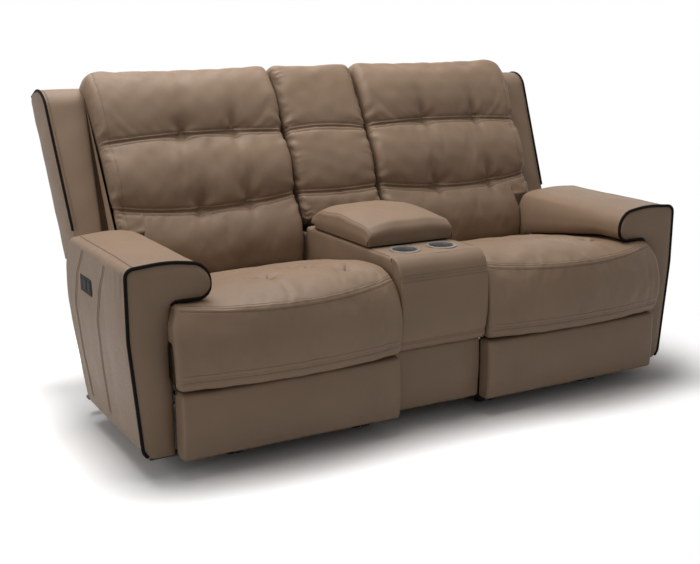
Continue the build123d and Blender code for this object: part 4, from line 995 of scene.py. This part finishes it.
def channel_seams(name, grid, loop, marks, x, sign, tack_shares, seed, body, stands_for, gathers, boxing):
    """Presses the seams, tacks, gathers and swells into a back; returns its rows of stitches."""
    normal = outward_surface(grid)
    upper = from_point(loop, marks[6])
    lower = from_point(loop, marks[7])
    facing = past(-normal[..., 1], 0.1, 0.4)
    width = x[-1] - x[0]
    height = np.zeros(grid.shape[:2])
    for seam in (upper, lower):
        height -= channel_depth * valley(seam, channel_width)
        height -= trough_depth * valley(seam, trough_width)
        height -= 0.0012 * beside(seam, channel_stitch, 0.004)
        height += 0.0015 * beside(seam, channel_stitch / 2, 0.003)
    for seam, shares in ((upper, tack_shares[0]), (lower, tack_shares[1])):
        for share in shares:
            place = x[0] + width * (share if sign > 0 else 1 - share)
            dx = grid[..., 0] - place
            up = -seam - 0.010
            away = np.hypot(dx, up * 0.8)
            height -= facing * dimple_depth * np.exp(-(away / dimple_reach) ** 1.5)
            tall = np.where(up > 0, valley(up, 0.10), valley(up, 0.035))
            height -= facing * fold_depth * tall * valley(dx + 0.12 * up, 0.016 + 0.08 * np.abs(up))
            angle = np.arctan2(up, dx)
            height += facing * 0.0024 * valley(away - 0.03, 0.03) * np.cos(4 * angle + share * 40)
    start = np.broadcast_to((x - x[0])[:, None], grid.shape[:2])
    end = np.broadcast_to((x[-1] - x)[:, None], grid.shape[:2])
    place, _ = run_length(loop)
    for edge, amount in ((start, gathers[0]), (end, gathers[1])):
        wave = np.sin(place * 230 + 4 * np.sin(place * 37 + seed)) * (0.6 + 0.4 * np.sin(place * 61 + seed))
        height += facing * amount * valley(edge, 0.030) * wave
        for seam in (upper, lower):
            fan = np.sin((seam * 160) / (1 + 14 * edge) + seed)
            near = np.exp(-(np.abs(seam) - 0.03) ** 2 / 0.0012)
            height += facing * fan_height * np.exp(-edge / 0.05) * near * fan
    if boxing:
        height -= 0.002 * valley(end - boxing, 0.004) * past(np.abs(normal[..., 1]), 0.15, 0.2)
    height += facing * 0.0019 * ripple(grid[..., 0], place, 0.19, seed)
    height += facing * 0.0009 * ripple(grid[..., 0], place, 0.075, seed + 5)
    grid = upholster(name, grid, normal, height, sign, body, stands_for)
    seams = [(seam, shift) for seam in (upper, lower) for shift in (-channel_stitch, channel_stitch)]
    rows = seam_rows(grid, normal, sign, seams, 0.0003, 6, 110)
    if boxing:
        row = int(np.argmin(np.abs(x[-1] - x - boxing)))
        rows.append(evenly(grid[row, marks[5] - 6:marks[8] - 3], 120))
    return rows


def drawn_in(grid):
    """Narrows a back towards its lower seam: its outer half moves in, most at the outer edge."""
    up = (grid[..., 1] - pivot_y) * math.sin(lean) + (grid[..., 2] - pivot_z) * math.cos(lean)
    amount = np.interp(up, [0.06, 0.13, 0.43, 0.62], [0.0, 0.038, 0.028, 0.018])
    grid[..., 0] -= amount * past(grid[..., 0], back_middle, back_half) ** 1.5
    return grid


for side, sign, seed in (("left", -1.0, 51), ("right", 1.0, 57)):
    back_grid = drawn_in(across(back_x, back_loop) + back_moved)
    back_rows = channel_seams(f"{side}_back_leather", back_grid, back_loop, back_marks, back_x, sign,
                              back_tacks[side], seed, f"{side}_back", [f"{side}_back_cushion"],
                              (0.0006, 0.0014), 0.036)
    sew(f"{side}_back_stitching", back_rows, f"{side}_back")

# Rear skins: one leather panel stretched over the rear of each reclining back, and a leather roll over its
# top rail. Both are fixed to the boards of the back's frame and turn with it.
skin_inner, skin_outer = -0.0965, -0.108
skin_round = 0.005
roll_middle, roll_front = -0.07, -0.040


def skin(name, x_from, x_to, low, high, body, stands_for, seed, sign=1.0):
    """A shallow padded panel that leans with the back and faces the rear, with a sewn line down each side."""
    x, draw = stations(x_from, x_to, skin_round, 60)
    t = (x - (x_from + x_to) / 2) / ((x_to - x_from) / 2)
    level = np.zeros_like(t)
    places = ((skin_inner, low), (skin_outer, low), (skin_outer, high), (skin_inner, high))
    corners = np.stack([leaning(level + b, level + a) for b, a in places], 1)
    bulges = per_station(level, 0.0, 0.004 * (1 - t ** 4), 0.0, 0.0)
    loop, _ = swept_outline(corners, bulges, (4, 80, 4, 30), 0.5)
    grid = across(x, inset(loop, draw))
    normal = outward_surface(grid)
    facing = np.clip(normal[..., 1], 0, 1)
    height = facing * 0.0014 * ripple(grid[..., 0], grid[..., 2], 0.2, seed)
    edge = np.minimum(grid[..., 0] - x_from, x_to - grid[..., 0])
    height -= facing * 0.002 * valley(edge - 0.03, 0.003)
    upholster(name, grid, normal, height, sign, body, stands_for)


for side, sign, seed in (("left", -1.0, 61), ("right", 1.0, 67)):
    skin(f"{side}_back_skin_leather", x_from=0.1665, x_to=0.844, low=-0.112, high=top_rear_a,
         body=f"{side}_back", stands_for=[f"{side}_back_skin"], seed=seed, sign=sign)


def top_roll(name, x_from, x_to, low, high, body, seed, sign=1.0):
    """A leather roll over a frame's top rail: a rounded section carried across the back, with closed ends."""
    x, draw = stations(x_from, x_to, skin_round, 60)
    section = rounded_run([(roll_middle, low), (skin_outer, low), (skin_outer, high), (roll_front, high),
                           (roll_front, low), (roll_middle, low)], [0.003, 0.012, 0.010, 0.003])[:-1]
    loop = np.repeat(leaning(section[:, 0], section[:, 1])[None], len(x), 0)
    grid = across(x, inset(loop, draw))
    height = 0.0006 * ripple(grid[..., 0], grid[..., 1], 0.12, seed)
    upholster(name, grid, outward_surface(grid), height, sign, body, ())


for side, sign, seed in (("left", -1.0, 62), ("right", 1.0, 68)):
    top_roll(f"{side}_back_top_leather", x_from=0.1665, x_to=0.8475, low=0.600, high=0.6515,
             body=f"{side}_back", seed=seed, sign=sign)

# Side wings: thin padded wedges that stand out beside each back and turn with it, edged with black piping
# down the front and over the top.
wing_in, wing_low, wing_high = 0.795, 0.100, 0.639
wing_front_b, wing_rear_b = 0.050, -0.1075
wing_turn = 0.08
wing_piping_radius = 0.0045


def wing_out(a):
    """How far out the wing's outer face lies at a height up the back."""
    return 0.923 + 0.023 * (a - 0.12) / 0.512


def wing(side, sign, seed):
    """A wing's cover and piping; returns its row of stitches. Outlines across it are carried up the back."""
    turn = np.linspace(0.0, math.pi / 2, 14)
    straight = np.linspace(wing_low, wing_high - wing_turn, 60)[:-1]
    heights = np.concatenate([straight, wing_high - wing_turn + wing_turn * np.sin(turn)])
    front = np.concatenate([np.full(len(straight), wing_front_b),
                            wing_front_b - wing_turn * (1 - np.cos(turn))])
    rear = wing_rear_b + 0.016 * np.clip((heights - wing_high + 0.016) / 0.016, 0, 1) ** 2
    out = wing_out(heights)
    level = np.zeros_like(heights)
    corners = corner_rows(level, (wing_in, front), (wing_in, rear), (out, rear), (out, front))
    bulges = per_station(level, 0.001, 0.002, 0.005, 0.007)
    loop, marks = swept_outline(corners, bulges, (30, 20, 44, 30), 0.6)
    loop = soften(loop, marks[2], 0.016, 30)
    loop = soften(loop, 0, 0.012, 20)
    slant = 0.030 * (wing_high - heights) / (wing_high - wing_low)
    slanted = slant[:, None] * (loop[..., 1] - wing_rear_b) / (wing_front_b - wing_rear_b)
    grid = np.concatenate([loop[..., :1], leaning(loop[..., 1], heights[:, None] + slanted)], -1)
    normal = outward_surface(grid[::-1])[::-1]
    height = 0.0012 * ripple(grid[..., 0] + grid[..., 1], grid[..., 2], 0.13, seed)
    upholster(f"{side}_wing_leather", grid, normal, height, sign, f"{side}_back", [f"{side}_wing_pad"])
    rise = (heights + slant)[4:]
    back_run = np.linspace(front[-1], wing_rear_b + 0.03, 20)[1:]
    line_a = np.concatenate([rise, np.full(len(back_run), wing_high)])
    line_b = np.concatenate([front[4:] + 0.0005, back_run])
    edge = np.concatenate([(wing_out(line_a) + 0.0005)[:, None] * sign, leaning(line_b, line_a)], -1)
    piece(f"{side}_wing_piping_cord", [(tube(evenly(edge, 160), wing_piping_radius), True)], black_leather,
          f"{side}_back", [f"{side}_wing_piping"], caps=(0,))
    seam_x = sign * (wing_out(heights[4:]) - 0.011)
    seam = np.concatenate([seam_x[:, None], leaning(front[4:] + 0.0042, rise)], -1)
    return [evenly(seam, 120)]


for side, sign, seed in (("left", -1.0, 71), ("right", 1.0, 73)):
    sew(f"{side}_wing_stitching", wing(side, sign, seed), f"{side}_back")

# Middle back: the same three channels in leather over foam, narrow, with a rear skin and a top roll of its
# own. Its board frame is fixed to the console between the two reclining backs.
middle_half = 0.1575
middle_x, middle_loop, middle_marks, middle_moved = back_fill(
    -middle_half, middle_half, 0.026, lambda x: np.full_like(x, 0.101), bulge=0.017, droop=0.006,
    corner=0.012, notched=False, coarse=24, pressure=3.0, cap=0.007)
middle_grid = across(middle_x, middle_loop) + middle_moved
base_rows += channel_seams("middle_back_leather", middle_grid, middle_loop, middle_marks, middle_x, 1.0,
                           ((), ()), 81, "base", ["middle_back_upholstery"], (0.0012, 0.0012), 0.0)
skin("middle_back_skin_leather", -middle_half, middle_half, low=-0.103, high=top_rear_a, body="base",
     stands_for=(), seed=83)
top_roll("middle_back_top_leather", -middle_half, middle_half, low=0.595, high=0.6285, body="base", seed=85)

# Console: a leather-covered box between the seats. Its top has two steel cup holders and the storage bin,
# and a bulging pad and a flat lower pad close its front.
console_half = 0.1575
console_top = 0.543
console_foot = 0.062
console_stitch_x = 0.1515
cup_x, cup_y, cup_hole = 0.067, -0.36, 0.0445
bin_y, bin_half_x, bin_half_y = -0.1, 0.121, 0.153
pad_back, pad_face = -0.4245, -0.486
pad_low, pad_high = 0.2567, 0.5432


def console_shell():
    """The cover over the console's top and sides: its cross-section is carried from front to rear. Faces over
    the cups and the bin are left out, under the rims that stand on the cover there."""
    rim = console_top - 0.001
    section = rounded_run([(-console_half, console_foot), (-console_half, rim), (console_half, rim),
                           (console_half, console_foot)], [0.013, 0.013])
    total = length_of(section)
    places = np.concatenate([np.linspace(0, 0.47, 40), np.linspace(0.473, total - 0.473, 118),
                             np.linspace(total - 0.47, total, 40)])
    over = along(section, places)[None]
    run = np.linspace(-0.441, 0.155, 200)[:, None]
    grid = np.stack(np.broadcast_arrays(over[..., 0], run, over[..., 1]), -1).copy()
    top = past(grid[..., 2], 0.52, 0.02)
    grid[..., 2] += top * 0.0006 * ripple(grid[..., 0], grid[..., 1], 0.09, 91)
    grid[..., 2] -= top * 0.0016 * (valley(np.abs(grid[..., 0]) - 0.1455, 0.003))
    grid[..., 0] += np.sign(grid[..., 0]) * (1 - top) * 0.0012 * ripple(grid[..., 1], grid[..., 2], 0.12, 93)
    faces = grid_faces(grid.shape[0], grid.shape[1], 0, False)
    points = grid.reshape(-1, 3)
    middle = points[faces].mean(1)
    cup = np.hypot(np.abs(middle[:, 0]) - cup_x, middle[:, 1] - cup_y) < cup_hole
    bin_hole = (np.abs(middle[:, 0]) < bin_half_x) & (np.abs(middle[:, 1] - bin_y) < bin_half_y)
    behind = (middle[:, 1] > 0.116) & (middle[:, 2] > 0.525)
    faces = faces[~((cup | bin_hole | behind) & (middle[:, 2] > 0.5))]
    mesh = bpy.data.meshes.new("console_leather")
    mesh.from_pydata(points.tolist(), [], faces.tolist())
    edit = bmesh.new()
    edit.from_mesh(mesh)
    bmesh.ops.delete(edit, geom=[v for v in edit.verts if not v.link_faces], context="VERTS")
    bmesh.ops.recalc_face_normals(edit, faces=edit.faces)
    top_face = max(edit.faces, key=lambda f: f.calc_center_median().z)
    if top_face.normal.z < 0:
        bmesh.ops.reverse_faces(edit, faces=edit.faces)
    edit.to_mesh(mesh)
    edit.free()
    shell = set_down("console_leather", mesh, taupe_leather)
    thick = shell.modifiers.new("hide_and_foam", "SOLIDIFY")
    thick.thickness = 0.005
    thick.offset = -1.0
    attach(shell, "base")
    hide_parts("console_cover")


console_shell()
for x in (-console_stitch_x, console_stitch_x):
    run = np.linspace(-0.415, 0.06, 100)
    base_rows.append(per_station(np.zeros(100), x, run, console_top - 0.0012))


def console_pad():
    """The bulging upper pad of the console's front: flat behind, rolled over the top, drawn in underneath."""
    x, draw = stations(-console_half, console_half, 0.007, 60)
    t = x / console_half
    level = np.zeros_like(t)
    corners = corner_rows(level, (-0.458, pad_low), (pad_back, pad_low), (pad_back, pad_high),
                          (-0.436, pad_high), (pad_face, 0.486), (pad_face, 0.292))
    bulges = per_station(level, 0.0, 0.0, 0.0, 0.013, 0.009 + 0.004 * (1 - t * t), 0.010)
    loop, marks = swept_outline(corners, bulges, (12, 40, 8, 34, 56, 20), 0.55)
    loop = soften(loop, marks[4], 0.03, 30)
    loop = soften(loop, marks[3], 0.014, 20)
    seam = from_point(loop, marks[4])
    hem = from_point(loop, marks[5])
    grid = across(x, inset(loop, draw))
    normal = outward_surface(grid)
    facing = past(-normal[..., 1], 0.1, 0.4)
    height = -0.0026 * valley(seam, 0.0035) - 0.001 * valley(seam - 0.010, 0.004)
    height -= 0.0018 * valley(hem, 0.0035)
    height += facing * 0.0014 * ripple(grid[..., 0], grid[..., 2], 0.12, 101)
    grid = upholster("console_front_leather", grid, normal, height, 1.0, "base", ["console_front_pad"])
    return seam_rows(grid, normal, 1.0, [(seam, 0.010), (seam, -0.008), (hem, 0.008)], 0.0003, 6, 70)


base_rows += console_pad()
padded_panel("console_lower_leather", x_from=-0.159, x_to=0.159, low=0.060, high=0.2565, back=pad_back,
             front=-0.452, bulge=0.009, radius=0.010, body="base", stands_for=["console_lower_pad"], seed=103)
cup_steel = finish("cup_steel", (0.66, 0.65, 0.63), (0.72, 0.71, 0.69), 0.3, 60.0, (1.0, 1.0, 0.2), 0.0,
                   metal=0.86, swing=0.02)
bin_plastic = finish("bin_plastic", (0.01, 0.01, 0.01), (0.022, 0.022, 0.022), 0.55, 900.0, bump=0.35)
# Painted shade: the cup holders' steel colour is darkened with depth below the rim, down to a tenth at the
# bottom, standing in for the shade inside the cups.
cup_tree = cup_steel.node_tree
cup_depth = shader_node(cup_tree, "SeparateXYZ")
cup_painted_shade = shader_node(cup_tree, "MapRange", from_min=0.500, from_max=0.5435, to_min=0.10, to_max=1.0)
cup_shaded_colour = shader_node(cup_tree, "VectorMath", "SCALE")
wire(cup_tree, (cup_tree.nodes["Texture Coordinate"], "Object", cup_depth, 0),
     (cup_depth, "Z", cup_painted_shade, "Value"), (cup_tree.nodes["Mix"], "Result", cup_shaded_colour, 0),
     (cup_painted_shade, "Result", cup_shaded_colour, "Scale"),
     (cup_shaded_colour, "Vector", cup_tree.nodes["Principled BSDF"], "Base Color"))
dress(cup_steel, "cup_holders")
dress(bin_plastic, "storage_bin")
dress(black_paint, "console_hinge", "lid_leaf")

# Lid: a crowned pad over a board on the rear hinge. The top panel rolls over the front in one piece, and a
# boxing panel is sewn in along each side.
lid_half, lid_front, lid_rear = 0.1555, -0.2975, 0.0835
lid_hem, lid_heel = 0.5466, 0.5582
lid_edge = 0.010


def lid():
    """The lid's top and front are one outline carried across its width. Each side is a panel down to the hem,
    which hangs past the board and lifts over the hinge at the rear. Returns the rows of stitches."""
    line = rounded_run([(lid_rear, lid_heel), (lid_rear, 0.590), (0.035, 0.625), (-0.11, 0.640),
                        (-0.272, 0.618), (lid_front, 0.592), (lid_front + 0.008, lid_hem)],
                       [0.015, 0.06, 0.35, 0.028, 0.03])
    line = evenly(line, 180)
    x, drop = stations(-lid_half, lid_half, lid_edge, 60)
    t = x / lid_half
    crown = 1.0 - 0.32 * np.abs(t) ** 4
    rise = np.maximum(line[:, 1] - lid_heel, 0.0)
    dropped = drop[:, None] * np.clip(rise / 0.03, 0, 1)
    z = np.minimum(line[:, 1], lid_heel)[None] + rise[None] * crown[:, None] - dropped
    y = line[None, :, 0] + drop[:, None] * 0.8 * past(-0.2, line[:, 0], 0.03)
    top = np.stack([np.broadcast_to(x[:, None], z.shape), y, z], -1)
    raised = past(z, lid_heel, 0.05)
    top[..., 2] += raised * 0.0014 * ripple(top[..., 0], top[..., 1], 0.12, 111)
    foot_z = np.where(line[:, 0] < 0.058, lid_hem, lid_heel)
    under = np.stack([top[..., 0], top[..., 1], np.broadcast_to(foot_z, z.shape)], -1)
    under[:, 0] = top[:, 0]
    under[:, -1] = top[:, -1]
    share = np.linspace(0, 1, 14)[:, None, None]
    grids = [(top, False), (under, False)]
    for row, side in ((0, -1.0), (-1, 1.0)):
        wall = under[row][None] * (1 - share) + top[row][None] * share
        tall = past(top[row, :, 2], under[row, :, 2], 0.03)
        wall[..., 0] += side * 0.0035 * np.sin(math.pi * share[..., 0]) * tall[None]
        grids.append((wall, False))
    piece("lid_leather", grids, taupe_leather, "lid", ["lid_pad"])
    rows = []
    for row in (6, -7):
        run = top[row][14:-20] + (0.0, 0.0, 0.0004)
        rows.append(evenly(run, 100))
    return rows


sew("lid_stitching", lid(), "lid")
sew("base_stitching", base_rows, "base")
